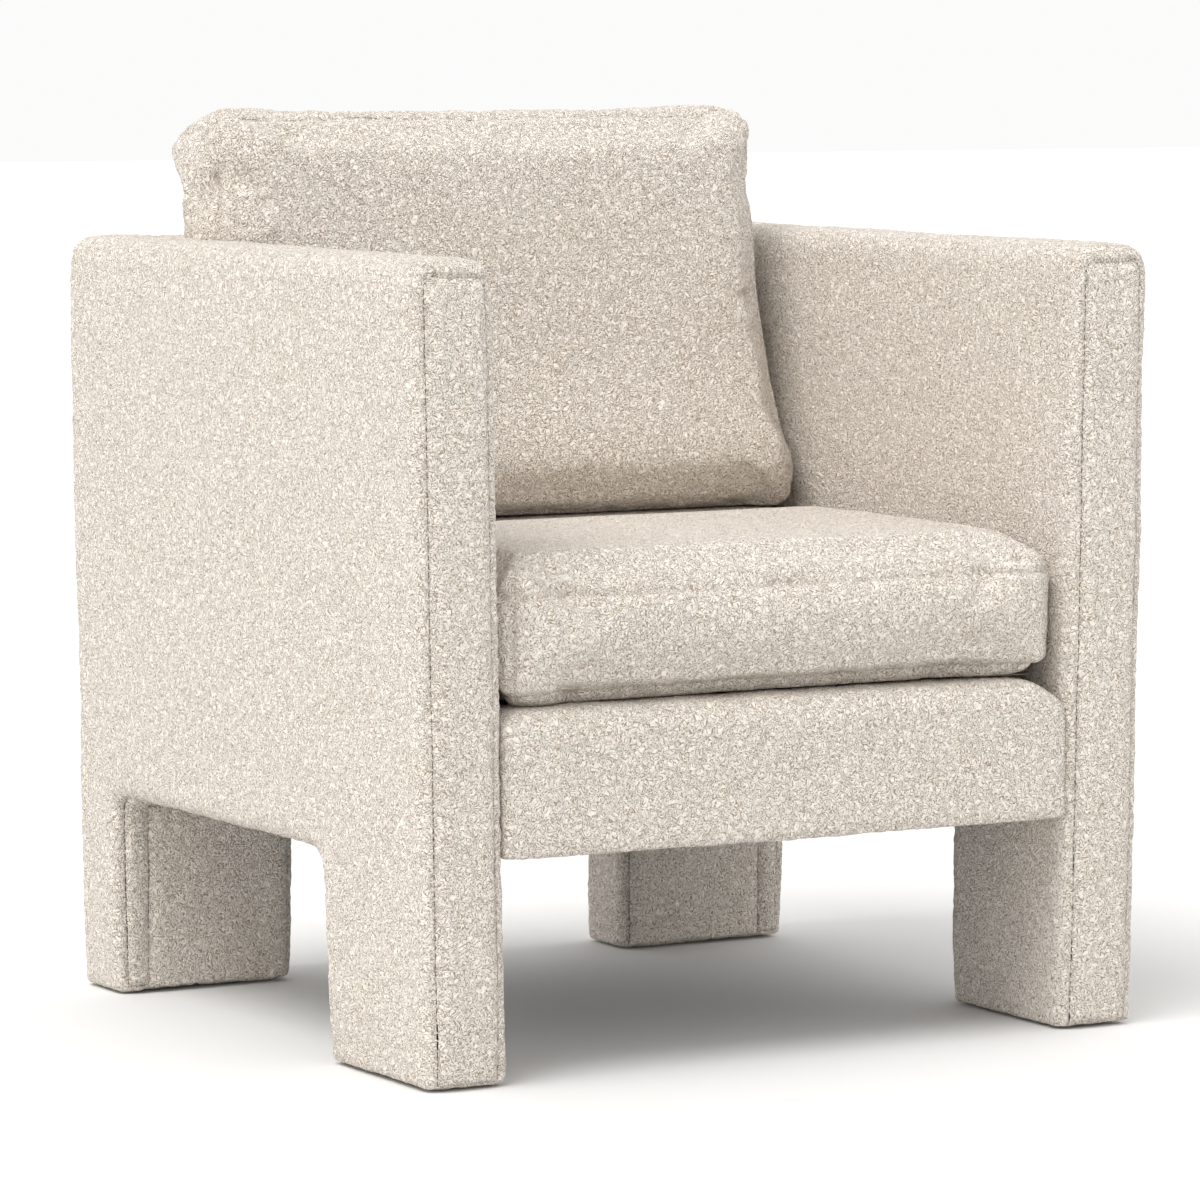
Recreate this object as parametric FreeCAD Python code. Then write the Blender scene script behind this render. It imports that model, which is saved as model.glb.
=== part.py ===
import FreeCAD, Part
import math
import os

# Upholstered armchair. Millimetres. X to the sitter's right, -Y is the front, +Z up.
# The origin is on the floor, under the middle of the chair.

# ---- overall sizes
FLOOR_WIDTH = 720.0        # across the outer faces of the legs at the floor
DEPTH = 682.0              # front of the arms to the back of the back
ARM_HEIGHT = 696.0         # top of the arms and of the back rail
SPLAY = 12.0               # how far each arm leans outward from floor to top
ARM_THICKNESS = 80.0
BACK_THICKNESS = 86.0
FRONT_LEG_DEPTH = 184.0
REAR_LEG_WIDTH = 180.0
SIDE_ARCH_HEIGHT = 184.0
RAIL_BOTTOM = 191.0        # underside of the seat box and of the back between its legs
RAIL_TOP = 317.0           # top of the padded front rail
FRONT_RAIL_DEPTH = 60.0
FRONT_ROLL_RADIUS = 18.0   # rolled top edge of the front rail
FRONT_LIP_RADIUS = 6.0
FRONT_FOAM = 12.0

# ---- upholstery layers, from the outside in
COVER = 2.0
PAD = 10.0
BOARD = 4.0
LAYERS = COVER + PAD + BOARD
EDGE_RADIUS = 18.0
ARCH_FRONT_RADIUS = 22.0
ARCH_REAR_RADIUS = 10.0
SEAM_INSET = 7.0           # from a panel's outer face to the seam that joins it to the next
INSIDE_FOAM = 12.0
STRAP_THICKNESS = 2.0
STRAP_WIDTH = 70.0
STRAP_SPACING = 92.0       # least distance from one strap to the next
STRAP_LAP = 20.0           # how far a strap lies on the post that it is stapled to

# ---- timber
UPRIGHT_WIDTH = 60.0
LEG_UPRIGHT_WIDTH = 50.0
TOP_RAIL_HEIGHT = 36.0
LOWER_RAIL_HEIGHT = 60.0
FOOT_BLOCK_HEIGHT = 34.0
SEAT_RAIL_WIDTH = 30.0
CORNER_BLOCK_LEG = 60.0
CORNER_BLOCK_HEIGHT = 60.0
CORNER_BLOCK_DROP = 12.0   # corner blocks below the top of the seat rails

# ---- metal and plastic parts
GLIDE_HEIGHT = 2.5
GLIDE_RADIUS = 12.0
GLIDE_PIN_RADIUS = 2.0
GLIDE_PIN_LENGTH = 20.0
SPRING_COUNT = 5
SPRING_WIRE_RADIUS = 1.9
SPRING_HALF_WIDTH = 26.0
SPRING_PITCH = 22.0        # nearest spacing of the bars that fits a whole number of bends
SPRING_SETBACK = 10.0      # first and last bar from the outer edge of the rails
SPRING_SIDE_MARGIN = 60.0  # outermost springs to the side rails
CLIP_WALL = 1.0
CLIP_DEPTH = 14.0
CLIP_LENGTH = 22.0
TIE_WIRE_RADIUS = 1.0
TIE_WIRE_COUNT = 2
BOLT_RADIUS = 4.0
BOLT_HEAD_RADIUS = 8.0
BOLT_HEAD_HEIGHT = 4.0
BOLT_INTO_ARM = 28.0       # how far a bolt bites into the arm's lower rail
BOLT_END_MARGIN = 90.0     # bolts from the two ends of the side rail
SCREW_RADIUS = 2.5
SCREW_HEAD_RADIUS = 4.5
SCREW_HEAD_HEIGHT = 4.0
SCREW_LENGTH = 80.0

# ---- deck under the seat cushion
DECK_DROP = 2.0            # deck below the top of the front rail
DECK_CLOTH = 1.5
DECK_PAD = 28.7            # padding between the springs' clips and the deck cloth
DUST_COVER = 1.2

# ---- loose cushions
CUSHION_LIFT = 1.0         # space between the front rail and the seat cushion
CUSHION_SIDE_GAP = 2.5     # at the foot of the cushion, to each arm
SEAT_CUSHION_HEIGHT = 126.0
SEAT_CUSHION_FRONT_INSET = 2.0
SEAT_CUSHION_REAR_GAP = 11.0
SEAT_CUSHION_TOP_RADIUS = 30.0
SEAT_CUSHION_CORNER_RADIUS = 14.0
SEAT_CUSHION_BOTTOM_RADIUS = 8.0
BACK_CUSHION_LEAN = 11.0   # degrees
BACK_CUSHION_SIDE_GAP = 0.7  # at the foot of the cushion, to each arm
BACK_CUSHION_HEIGHT = 358.0
BACK_CUSHION_THICKNESS = 114.0
BACK_CUSHION_RADIUS = 24.0
BACK_ZIP_HEIGHT = 60.0     # middle of the back cushion's zip above its foot, along its rear face
CUSHION_TO_CUSHION = 5.0   # lowest point of the back cushion above the seat cushion
CUSHION_TO_BACK = 3.0      # leaning cushion to the top of the back
ZIP_END_MARGIN = 47.0      # from the end of a zip to the side of its cushion
ZIP_WIDTH = 24.0
ZIP_THICKNESS = 1.2
ZIP_CHAIN_WIDTH = 5.0
ZIP_CHAIN_HEIGHT = 1.2
SLIDER_LENGTH = 9.0
SLIDER_WIDTH = 8.0
SLIDER_HEIGHT = 2.4
SLIDER_CLEARANCE = 0.4
PULL_LENGTH = 24.0
PULL_WIDTH = 6.0
PULL_THICKNESS = 1.2

# ---- planes that several parts share
FRONT = -DEPTH / 2
REAR = DEPTH / 2
BACK_FACE = REAR - BACK_THICKNESS
HALF_FLOOR = FLOOR_WIDTH / 2
CORE = COVER + PAD
TIMBER = ARM_THICKNESS - 2 * LAYERS
FOOT = GLIDE_HEIGHT
CORE_FOOT = FOOT + COVER
CORE_TOP = ARM_HEIGHT - CORE
ARCH_FRONT = FRONT + FRONT_LEG_DEPTH
RAIL_UNDERSIDE = CORE_TOP - TOP_RAIL_HEIGHT
BACK_BOARD_FRONT = REAR - CORE - BOARD
BACK_FRAME_FRONT = BACK_FACE + CORE + INSIDE_FOAM + STRAP_THICKNESS
POST_INNER = LAYERS + TIMBER                     # depth of the arm timber's inner face
BACK_LOWER_RAIL_BOTTOM = RAIL_BOTTOM + CORE
REAR_LEG_INNER_X = HALF_FLOOR - REAR_LEG_WIDTH
SIDES = {"left": -1, "right": 1}

SEAT_FRAME_BOTTOM = RAIL_BOTTOM + COVER
DECK_TOP = RAIL_TOP - DECK_DROP
CLIP_TOP = DECK_TOP - DECK_CLOTH - DECK_PAD
SPRING_CENTRE = CLIP_TOP - CLIP_WALL - SPRING_WIRE_RADIUS
SEAT_FRAME_TOP = SPRING_CENTRE - SPRING_WIRE_RADIUS - CLIP_WALL
FRONT_TIMBER = FRONT + COVER + FRONT_FOAM
FRONT_TIMBER_REAR = FRONT_TIMBER + SEAT_RAIL_WIDTH
FRONT_RAIL_REAR = FRONT + FRONT_RAIL_DEPTH
REAR_TIMBER_FRONT = BACK_FACE - SEAT_RAIL_WIDTH
SIDE_RAIL_INNER = ARM_THICKNESS + SEAT_RAIL_WIDTH


def export(name, shape):
    shape.exportStep(os.path.join("parts", name + ".step"))


def lean(z):
    """How far the arm has moved outward at height z."""
    return SPLAY * z / ARM_HEIGHT


def arm_x(depth, z):
    """Distance from the centre plane of a layer that lies this deep behind the arm's outer face."""
    return HALF_FLOOR - depth + lean(z)


def box(x0, x1, y0, y1, z0, z1):
    low_x = min(x0, x1)
    return Part.makeBox(abs(x1 - x0), y1 - y0, z1 - z0, FreeCAD.Vector(low_x, y0, z0))


def prism_along_y(outline, y0, y1):
    """Extrude an outline of (x, z) points from y0 to y1."""
    points = [FreeCAD.Vector(x, y0, z) for x, z in outline]
    face = Part.Face(Part.makePolygon(points + points[:1]))
    return face.extrude(FreeCAD.Vector(0, y1 - y0, 0))


def prism_along_x(outline, x0, x1):
    """Extrude an outline of (y, z) points from x0 to x1."""
    points = [FreeCAD.Vector(x0, y, z) for y, z in outline]
    face = Part.Face(Part.makePolygon(points + points[:1]))
    return face.extrude(FreeCAD.Vector(x1 - x0, 0, 0))


def arm_bar(side, outer_depth, inner_depth, y0, y1, z0, z1):
    """A bar that leans with the arm, between two depths behind the arm's outer face."""
    outline = [
        (side * arm_x(outer_depth, z0), z0),
        (side * arm_x(inner_depth, z0), z0),
        (side * arm_x(inner_depth, z1), z1),
        (side * arm_x(outer_depth, z1), z1),
    ]
    return prism_along_y(outline, y0, y1)


def cross_bar(end_depth, y0, y1, z0, z1):
    """A bar across the chair whose two ends lean with the arms."""
    outline = [
        (-arm_x(end_depth, z0), z0),
        (arm_x(end_depth, z0), z0),
        (arm_x(end_depth, z1), z1),
        (-arm_x(end_depth, z1), z1),
    ]
    return prism_along_y(outline, y0, y1)


def fuse(shapes):
    return shapes[0].fuse(shapes[1:]).removeSplitter()


def solids(shape):
    """The shape as one solid, or as a compound when it is several."""
    found = shape.Solids
    if len(found) == 1:
        return found[0]
    return Part.makeCompound(found)


def along(edge, axis):
    """Whether a straight edge runs along a coordinate axis."""
    start, end = edge.Vertexes[0].Point, edge.Vertexes[-1].Point
    run = end - start
    return run.Length > 0 and abs(run.dot(axis)) > 0.999 * run.Length


X_AXIS = FreeCAD.Vector(1, 0, 0)
Y_AXIS = FreeCAD.Vector(0, 1, 0)
Z_AXIS = FreeCAD.Vector(0, 0, 1)


# ---- outer shape of the arms and back, pulled in by an inset for each layer

def arm_slab(side, inset, foot):
    """One arm with its legs, all edges rounded except those underneath."""
    slab = arm_bar(side, inset, ARM_THICKNESS - inset, FRONT + inset, REAR - inset, foot, ARM_HEIGHT - inset)
    rounded = [e for e in slab.Edges if e.BoundBox.ZMax > foot + 1]
    return slab.makeFillet(EDGE_RADIUS - inset, rounded)


def back_slab(inset, foot):
    """The back between the arms; its ends lie inside the arms."""
    end = arm_x(ARM_THICKNESS / 2, 0)
    top = ARM_HEIGHT - inset
    slab = box(-end, end, BACK_FACE + inset, REAR - inset, foot, top)
    rounded = [e for e in slab.Edges if along(e, X_AXIS) and e.BoundBox.ZMin > top - 1]
    return slab.makeFillet(EDGE_RADIUS - inset, rounded)


def side_arch(side, inset):
    """The space between the front and rear leg, through one arm."""
    top = SIDE_ARCH_HEIGHT + inset
    inner = arm_x(ARM_THICKNESS + COVER, 0)
    outer = arm_x(-EDGE_RADIUS, ARM_HEIGHT)
    space = box(side * inner, side * outer, ARCH_FRONT - inset, BACK_FACE + inset, -FOOT, top)
    for end, radius in ((-1, ARCH_FRONT_RADIUS), (1, ARCH_REAR_RADIUS)):
        corner = [e for e in space.Edges if along(e, X_AXIS) and e.BoundBox.ZMin > top - 1
                  and end * e.BoundBox.Center.y > 0]
        space = space.makeFillet(radius + inset, corner)
    return space


def back_arch(inset):
    """The space between the two rear legs, through the back."""
    half = REAR_LEG_INNER_X + inset
    return box(-half, half, FRONT, REAR + FOOT, -FOOT, RAIL_BOTTOM + inset)


def carcass(inset, foot):
    body = fuse([arm_slab(-1, inset, foot), arm_slab(1, inset, foot), back_slab(inset, foot)])
    return body.cut([side_arch(-1, inset), side_arch(1, inset), back_arch(inset)])


def between_arms(y0, y1, z0, z1):
    return cross_bar(ARM_THICKNESS, y0, y1, z0, z1)


# ---- glides, bolts and screws; the pieces they enter are cut to take them

def glide_places():
    """The middle of each upright that stands on a glide, as (x, y)."""
    arm_middle = arm_x(ARM_THICKNESS / 2, 0)
    front = FRONT + CORE + UPRIGHT_WIDTH / 2
    leg = ARCH_FRONT - CORE - LEG_UPRIGHT_WIDTH / 2
    rear = (BACK_FRAME_FRONT + BACK_BOARD_FRONT) / 2
    inner_x = REAR_LEG_INNER_X + CORE + LEG_UPRIGHT_WIDTH / 2
    inner_y = (BACK_FACE + CORE + BACK_BOARD_FRONT) / 2
    return [(arm_middle, front), (arm_middle, leg), (arm_middle, rear), (inner_x, inner_y)]


def glides():
    made = []
    for side in SIDES.values():
        for x, y in glide_places():
            place = FreeCAD.Vector(side * x, y, 0)
            disc = Part.makeCylinder(GLIDE_RADIUS, GLIDE_HEIGHT, place)
            pin = Part.makeCylinder(GLIDE_PIN_RADIUS, GLIDE_HEIGHT + GLIDE_PIN_LENGTH, place)
            made.append(fuse([disc, pin]))
    return made


def seat_bolts():
    """Bolts from inside the seat frame, through each arm's lining, into its lower rail."""
    made = []
    height = (SIDE_ARCH_HEIGHT + CORE + SEAT_FRAME_BOTTOM + LOWER_RAIL_HEIGHT) / 2
    face = arm_x(SIDE_RAIL_INNER, height)
    length = SEAT_RAIL_WIDTH + LAYERS + BOLT_INTO_ARM
    for side in SIDES.values():
        for y in (FRONT_TIMBER_REAR + BOLT_END_MARGIN, REAR_TIMBER_FRONT - BOLT_END_MARGIN):
            out = FreeCAD.Vector(side, 0, 0)
            head = Part.makeCylinder(
                BOLT_HEAD_RADIUS, BOLT_HEAD_HEIGHT,
                FreeCAD.Vector(side * (face - BOLT_HEAD_HEIGHT), y, height), out)
            shank = Part.makeCylinder(BOLT_RADIUS, length, FreeCAD.Vector(side * face, y, height), out)
            made.append(fuse([head, shank]))
    return made


def rail_screws():
    """Screws down through the arm top rails into the uprights under them."""
    made = []
    x = arm_x(ARM_THICKNESS / 2, CORE_TOP)
    down = FreeCAD.Vector(0, 0, -1)
    front = FRONT + CORE + UPRIGHT_WIDTH / 2
    rear = (BACK_FRAME_FRONT + BACK_BOARD_FRONT) / 2
    for side in SIDES.values():
        for y in (front, rear):
            place = FreeCAD.Vector(side * x, y, CORE_TOP)
            head = Part.makeCylinder(SCREW_HEAD_RADIUS, SCREW_HEAD_HEIGHT, place, down)
            shank = Part.makeCylinder(SCREW_RADIUS, SCREW_LENGTH, place, down)
            made.append(fuse([head, shank]))
    return made


FASTENERS = Part.makeCompound(glides() + seat_bolts() + rail_screws())


def drilled(shape):
    """The shape with room for the glides, bolts and screws that enter it."""
    return solids(shape.cut(FASTENERS))


# ---- fabric panels

def take(cloth, region):
    """Split off the part of the cloth that lies in a region; return it and what is left."""
    return cloth.common(region), cloth.cut(region)


def make_covers():
    cloth = carcass(0, FOOT).cut(carcass(COVER, CORE_FOOT))
    wide = FLOOR_WIDTH
    high = ARM_HEIGHT + EDGE_RADIUS
    wrap_top = SIDE_ARCH_HEIGHT - ARCH_REAR_RADIUS
    rear_seam = REAR - SEAM_INSET
    panels = {}
    region = box(-wide, wide, rear_seam, REAR + COVER, 0, high)
    panels["outside_back_cover"], cloth = take(cloth, region)
    for name, side in SIDES.items():
        region = box(0, side * wide, FRONT - COVER, FRONT + SEAM_INSET, 0, high)
        panels[name + "_arm_front_panel"], cloth = take(cloth, region)
        region = box(side * (REAR_LEG_INNER_X - COVER), side * arm_x(SEAM_INSET, 0),
                     BACK_FACE - COVER, rear_seam, 0, wrap_top)
        panels[name + "_rear_leg_wrap"], cloth = take(cloth, region)
        panels[name + "_arch_lining"], cloth = take(cloth, side_arch(side, COVER))
    region = between_arms(BACK_FACE - COVER, rear_seam, wrap_top, high)
    panels["inside_back_cover"], cloth = take(cloth, region)
    for name, side in SIDES.items():
        region = box(0, side * wide, FRONT, REAR, 0, high)
        panels[name + "_arm_cover"] = cloth.common(region)
    for name, panel in panels.items():
        export(name, drilled(panel))


# ---- padding that lies between the fabric and the boards

def make_pads():
    padding = carcass(COVER, CORE_FOOT).cut(carcass(CORE, CORE_FOOT))
    back, arms = take(padding, between_arms(BACK_FACE, REAR, 0, ARM_HEIGHT))
    export("back_pad", solids(back))
    for name, side in SIDES.items():
        region = box(0, side * FLOOR_WIDTH, FRONT, REAR, 0, ARM_HEIGHT)
        export(name + "_arm_pad", drilled(arms.common(region)))
    foam = cross_bar(POST_INNER, BACK_FACE + CORE, BACK_FRAME_FRONT - STRAP_THICKNESS,
                     BACK_LOWER_RAIL_BOTTOM, CORE_TOP)
    export("inside_back_foam", solids(foam.common(carcass(CORE, CORE_FOOT))))


# ---- timber frame and boards of the arms, the back and the legs

def make_arm_frame(name, side, core):
    inner = ARM_THICKNESS - LAYERS
    front = FRONT + CORE
    leg_rear = ARCH_FRONT - CORE
    arch_top = SIDE_ARCH_HEIGHT + CORE
    upright_rear = front + UPRIGHT_WIDTH

    def bar(y0, y1, z0, z1):
        return arm_bar(side, LAYERS, inner, y0, y1, z0, z1).common(core)

    parts = {
        "_front_upright": bar(front, upright_rear, CORE_FOOT, RAIL_UNDERSIDE),
        "_front_leg_upright": bar(leg_rear - LEG_UPRIGHT_WIDTH, leg_rear, CORE_FOOT, arch_top),
        "_corner_post": bar(BACK_FRAME_FRONT, BACK_BOARD_FRONT, CORE_FOOT, RAIL_UNDERSIDE),
        "_arm_top_rail": bar(front, BACK_BOARD_FRONT, RAIL_UNDERSIDE, CORE_TOP),
        "_arm_lower_rail": bar(upright_rear, BACK_FRAME_FRONT, arch_top, arch_top + LOWER_RAIL_HEIGHT),
        "_arm_outer_board": arm_bar(
            side, CORE, LAYERS, FRONT, BACK_BOARD_FRONT, 0, ARM_HEIGHT).common(core),
        "_arm_inner_board": arm_bar(
            side, inner, inner + BOARD, FRONT, BACK_FACE + CORE, 0, ARM_HEIGHT).common(core),
    }
    for part, shape in parts.items():
        export(name + part, drilled(shape))


def rear_leg_upright(side):
    inner = REAR_LEG_INNER_X + CORE
    return box(side * inner, side * (inner + LEG_UPRIGHT_WIDTH), BACK_FACE + CORE, BACK_BOARD_FRONT,
               CORE_FOOT, BACK_LOWER_RAIL_BOTTOM)


def make_back_frame(core):
    lower_top = BACK_LOWER_RAIL_BOTTOM + LOWER_RAIL_HEIGHT
    planes = (BACK_FRAME_FRONT, BACK_BOARD_FRONT)
    half_post = UPRIGHT_WIDTH / 2
    top_rail = cross_bar(POST_INNER, *planes, RAIL_UNDERSIDE, CORE_TOP)
    export("back_top_rail", solids(top_rail.common(core)))
    export("back_lower_rail", cross_bar(POST_INNER, *planes, BACK_LOWER_RAIL_BOTTOM, lower_top))
    export("back_centre_post", box(-half_post, half_post, *planes, lower_top, RAIL_UNDERSIDE))
    board = box(-FLOOR_WIDTH, FLOOR_WIDTH, BACK_BOARD_FRONT, REAR, 0, ARM_HEIGHT)
    export("outside_back_board", solids(board.common(core)))
    for name, side in SIDES.items():
        export(name + "_rear_leg_upright", drilled(rear_leg_upright(side)))
    count = int((RAIL_UNDERSIDE - lower_top) // STRAP_SPACING)
    space = (RAIL_UNDERSIDE - lower_top - count * STRAP_WIDTH) / (count + 1)
    straps = []
    for row in range(count):
        foot = lower_top + space + row * (STRAP_WIDTH + space)
        straps.append(cross_bar(POST_INNER - STRAP_LAP, BACK_FRAME_FRONT - STRAP_THICKNESS,
                                BACK_FRAME_FRONT, foot, foot + STRAP_WIDTH))
    export("back_webbing", Part.makeCompound(straps))


def make_foot_blocks():
    """Blocks that tie the two uprights of each leg together at the floor."""
    top = CORE_FOOT + FOOT_BLOCK_HEIGHT
    inner = REAR_LEG_INNER_X + CORE + LEG_UPRIGHT_WIDTH
    blocks = []
    for side in SIDES.values():
        blocks.append(arm_bar(side, LAYERS, ARM_THICKNESS - LAYERS, FRONT + CORE + UPRIGHT_WIDTH,
                              ARCH_FRONT - CORE - LEG_UPRIGHT_WIDTH, CORE_FOOT, top))
        outline = [
            (side * inner, CORE_FOOT),
            (side * arm_x(POST_INNER, CORE_FOOT), CORE_FOOT),
            (side * arm_x(POST_INNER, top), top),
            (side * inner, top),
        ]
        blocks.append(prism_along_y(outline, BACK_FRAME_FRONT, BACK_BOARD_FRONT))
    export("foot_blocks", Part.makeCompound(blocks))


# ---- seat box: frame, springs, deck and front rail upholstery

def front_rail_shape(inset):
    """Outline of the padded front rail between the arms, open at its ends and its rear."""
    top = RAIL_TOP - inset
    foot = RAIL_BOTTOM + inset
    front = FRONT + inset
    rail = between_arms(front, FRONT_RAIL_REAR, foot, top)
    for height, radius in ((top, FRONT_ROLL_RADIUS), (foot, FRONT_LIP_RADIUS)):
        edges = [e for e in rail.Edges if along(e, X_AXIS) and abs(e.BoundBox.Center.z - height) < 1
                 and abs(e.BoundBox.Center.y - front) < 1]
        rail = rail.makeFillet(radius - inset, edges)
    return rail


def side_rail(side):
    return arm_bar(side, ARM_THICKNESS, SIDE_RAIL_INNER, FRONT_TIMBER_REAR, REAR_TIMBER_FRONT,
                   SEAT_FRAME_BOTTOM, SEAT_FRAME_TOP)


def make_seat_frame():
    heights = (SEAT_FRAME_BOTTOM, SEAT_FRAME_TOP)
    export("front_seat_rail", between_arms(FRONT_TIMBER, FRONT_TIMBER_REAR, *heights))
    export("rear_seat_rail", between_arms(REAR_TIMBER_FRONT, BACK_FACE, *heights))
    block_top = SEAT_FRAME_TOP - CORNER_BLOCK_DROP
    block_foot = block_top - CORNER_BLOCK_HEIGHT
    corner_x = arm_x(SIDE_RAIL_INNER, SEAT_FRAME_TOP)
    blocks = []
    for name, side in SIDES.items():
        rail = side_rail(side)
        export(name + "_seat_rail", drilled(rail))
        for y, inward in ((FRONT_TIMBER_REAR, 1), (REAR_TIMBER_FRONT, -1)):
            corner = FreeCAD.Vector(side * corner_x, y, block_foot)
            across = corner - FreeCAD.Vector(side * CORNER_BLOCK_LEG, 0, 0)
            along_rail = corner + FreeCAD.Vector(0, inward * CORNER_BLOCK_LEG, 0)
            face = Part.Face(Part.makePolygon([corner, across, along_rail, corner]))
            block = face.extrude(FreeCAD.Vector(0, 0, CORNER_BLOCK_HEIGHT))
            blocks.append(solids(block.cut(rail)))
    export("corner_blocks", Part.makeCompound(blocks))


def spring_rows():
    """Distance between the bars of a spring, and where each bar lies along Y."""
    start = FRONT_TIMBER + SPRING_SETBACK
    end = BACK_FACE - SPRING_SETBACK
    bends = round((end - start) / SPRING_PITCH)
    step = (end - start) / bends
    return step, [start + step * bar for bar in range(bends + 1)]


def spring_columns():
    edge = arm_x(SIDE_RAIL_INNER, SEAT_FRAME_TOP) - SPRING_SIDE_MARGIN
    return [edge * (2 * column / (SPRING_COUNT - 1) - 1) for column in range(SPRING_COUNT)]


def sinuous_spring():
    """A zigzag wire with round bends, centred on X = 0."""
    step, bars = spring_rows()
    bend = step / 2
    half_bar = SPRING_HALF_WIDTH - bend
    edges = []
    side = 1
    for number, y in enumerate(bars):
        start = FreeCAD.Vector(-side * half_bar, y, SPRING_CENTRE)
        end = FreeCAD.Vector(side * half_bar, y, SPRING_CENTRE)
        edges.append(Part.LineSegment(start, end).toShape())
        if number < len(bars) - 1:
            middle = end + FreeCAD.Vector(side * bend, bend, 0)
            after = end + FreeCAD.Vector(0, step, 0)
            edges.append(Part.Arc(end, middle, after).toShape())
        side = -side
    path = Part.Wire(edges)
    section = Part.Wire(Part.makeCircle(SPRING_WIRE_RADIUS, edges[0].Vertexes[0].Point, X_AXIS))
    return path.makePipeShell([section], True, False)


def make_springs():
    spring = sinuous_spring()
    bars = spring_rows()[1]
    springs = []
    clips = []
    for x in spring_columns():
        springs.append(solids(spring.translated(FreeCAD.Vector(x, 0, 0))))
        for y in (bars[0], bars[-1]):
            clip = box(x - CLIP_LENGTH / 2, x + CLIP_LENGTH / 2, y - CLIP_DEPTH / 2, y + CLIP_DEPTH / 2,
                       SEAT_FRAME_TOP, CLIP_TOP)
            start = FreeCAD.Vector(x - CLIP_LENGTH, y, SPRING_CENTRE)
            bar = Part.makeCylinder(SPRING_WIRE_RADIUS, 2 * CLIP_LENGTH, start, X_AXIS)
            clips.append(solids(clip.cut(bar)))
    export("seat_springs", Part.makeCompound(springs))
    export("spring_clips", Part.makeCompound(clips))
    height = SPRING_CENTRE - SPRING_WIRE_RADIUS - TIE_WIRE_RADIUS
    half = arm_x(SIDE_RAIL_INNER, height - TIE_WIRE_RADIUS)
    ties = []
    for number in range(TIE_WIRE_COUNT):
        row = round((number + 1) * (len(bars) - 1) / (TIE_WIRE_COUNT + 1))
        start = FreeCAD.Vector(-half, bars[row], height)
        ties.append(Part.makeCylinder(TIE_WIRE_RADIUS, 2 * half, start, X_AXIS))
    export("tie_wires", Part.makeCompound(ties))


def make_seat_upholstery():
    outer = front_rail_shape(0)
    inner = front_rail_shape(COVER)
    behind = between_arms(FRONT_TIMBER, FRONT_RAIL_REAR + COVER, 0, CLIP_TOP)
    export("front_rail_cover", solids(outer.cut(inner)))
    export("front_rail_foam", solids(inner.cut(behind)))
    deck = (FRONT_RAIL_REAR, BACK_FACE)
    export("deck_pad", between_arms(*deck, CLIP_TOP, DECK_TOP - DECK_CLOTH))
    export("deck_cloth", between_arms(*deck, DECK_TOP - DECK_CLOTH, DECK_TOP))
    export("dust_cover", between_arms(*deck, SEAT_FRAME_BOTTOM - DUST_COVER, SEAT_FRAME_BOTTOM))


# ---- loose cushions

SEAT_CUSHION_FOOT = RAIL_TOP + CUSHION_LIFT
SEAT_CUSHION_TOP = SEAT_CUSHION_FOOT + SEAT_CUSHION_HEIGHT
SEAT_CUSHION_REAR = BACK_FACE - SEAT_CUSHION_REAR_GAP
BACK_CUSHION_FOOT = SEAT_CUSHION_TOP + CUSHION_TO_CUSHION
BACK_CUSHION_HALF = arm_x(ARM_THICKNESS, BACK_CUSHION_FOOT) - BACK_CUSHION_SIDE_GAP
ZIP_HALF = BACK_CUSHION_HALF - ZIP_END_MARGIN


def rounded_bar(axis, bounds, foot_radius, top_radius):
    """A box with its edges along one axis rounded."""
    x, y, foot, top = bounds
    bar = box(-x, x, y[0], y[1], foot, top)
    for height, radius in ((foot, foot_radius), (top, top_radius)):
        edges = [e for e in bar.Edges if along(e, axis) and abs(e.BoundBox.Center.z - height) < 1]
        bar = bar.makeFillet(radius, edges)
    return bar


def seat_cushion(inset):
    """Box cushion: upright corners, a flat underside and a top that rounds over on all four sides."""
    half = arm_x(ARM_THICKNESS, SEAT_CUSHION_FOOT) - CUSHION_SIDE_GAP - inset
    ends = (FRONT + SEAT_CUSHION_FRONT_INSET + inset, SEAT_CUSHION_REAR - inset)
    bounds = (half, ends, SEAT_CUSHION_FOOT + inset, SEAT_CUSHION_TOP - inset)
    radii = (SEAT_CUSHION_BOTTOM_RADIUS - inset, SEAT_CUSHION_TOP_RADIUS - inset)
    block = box(-half, half, *ends, SEAT_CUSHION_FOOT + inset, SEAT_CUSHION_TOP - inset)
    corners = [e for e in block.Edges if along(e, Z_AXIS)]
    block = block.makeFillet(SEAT_CUSHION_CORNER_RADIUS - inset, corners)
    return block.common(rounded_bar(X_AXIS, bounds, *radii)).common(rounded_bar(Y_AXIS, bounds, *radii))


def zip_tape():
    """Tape and closed teeth along X, lying on the plane Z = 0 and standing out along -Z."""
    tape = box(-ZIP_HALF, ZIP_HALF, -ZIP_WIDTH / 2, ZIP_WIDTH / 2, -ZIP_THICKNESS, 0)
    chain_bottom = -ZIP_THICKNESS - ZIP_CHAIN_HEIGHT
    chain = box(-ZIP_HALF, ZIP_HALF, -ZIP_CHAIN_WIDTH / 2, ZIP_CHAIN_WIDTH / 2, chain_bottom, -ZIP_THICKNESS)
    return fuse([tape, chain])


def zip_slider():
    """Slider at the closed end of the tape, with its pull lying flat beside it."""
    start = SLIDER_LENGTH - ZIP_HALF
    top = -ZIP_THICKNESS - ZIP_CHAIN_HEIGHT - SLIDER_CLEARANCE
    foot = top - SLIDER_HEIGHT
    body = box(start, start + SLIDER_LENGTH, -SLIDER_WIDTH / 2, SLIDER_WIDTH / 2, foot, top)
    pull = box(start + SLIDER_LENGTH / 2, start + SLIDER_LENGTH / 2 + PULL_LENGTH,
               -PULL_WIDTH / 2, PULL_WIDTH / 2, foot, foot + PULL_THICKNESS)
    return fuse([body, pull])


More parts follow.
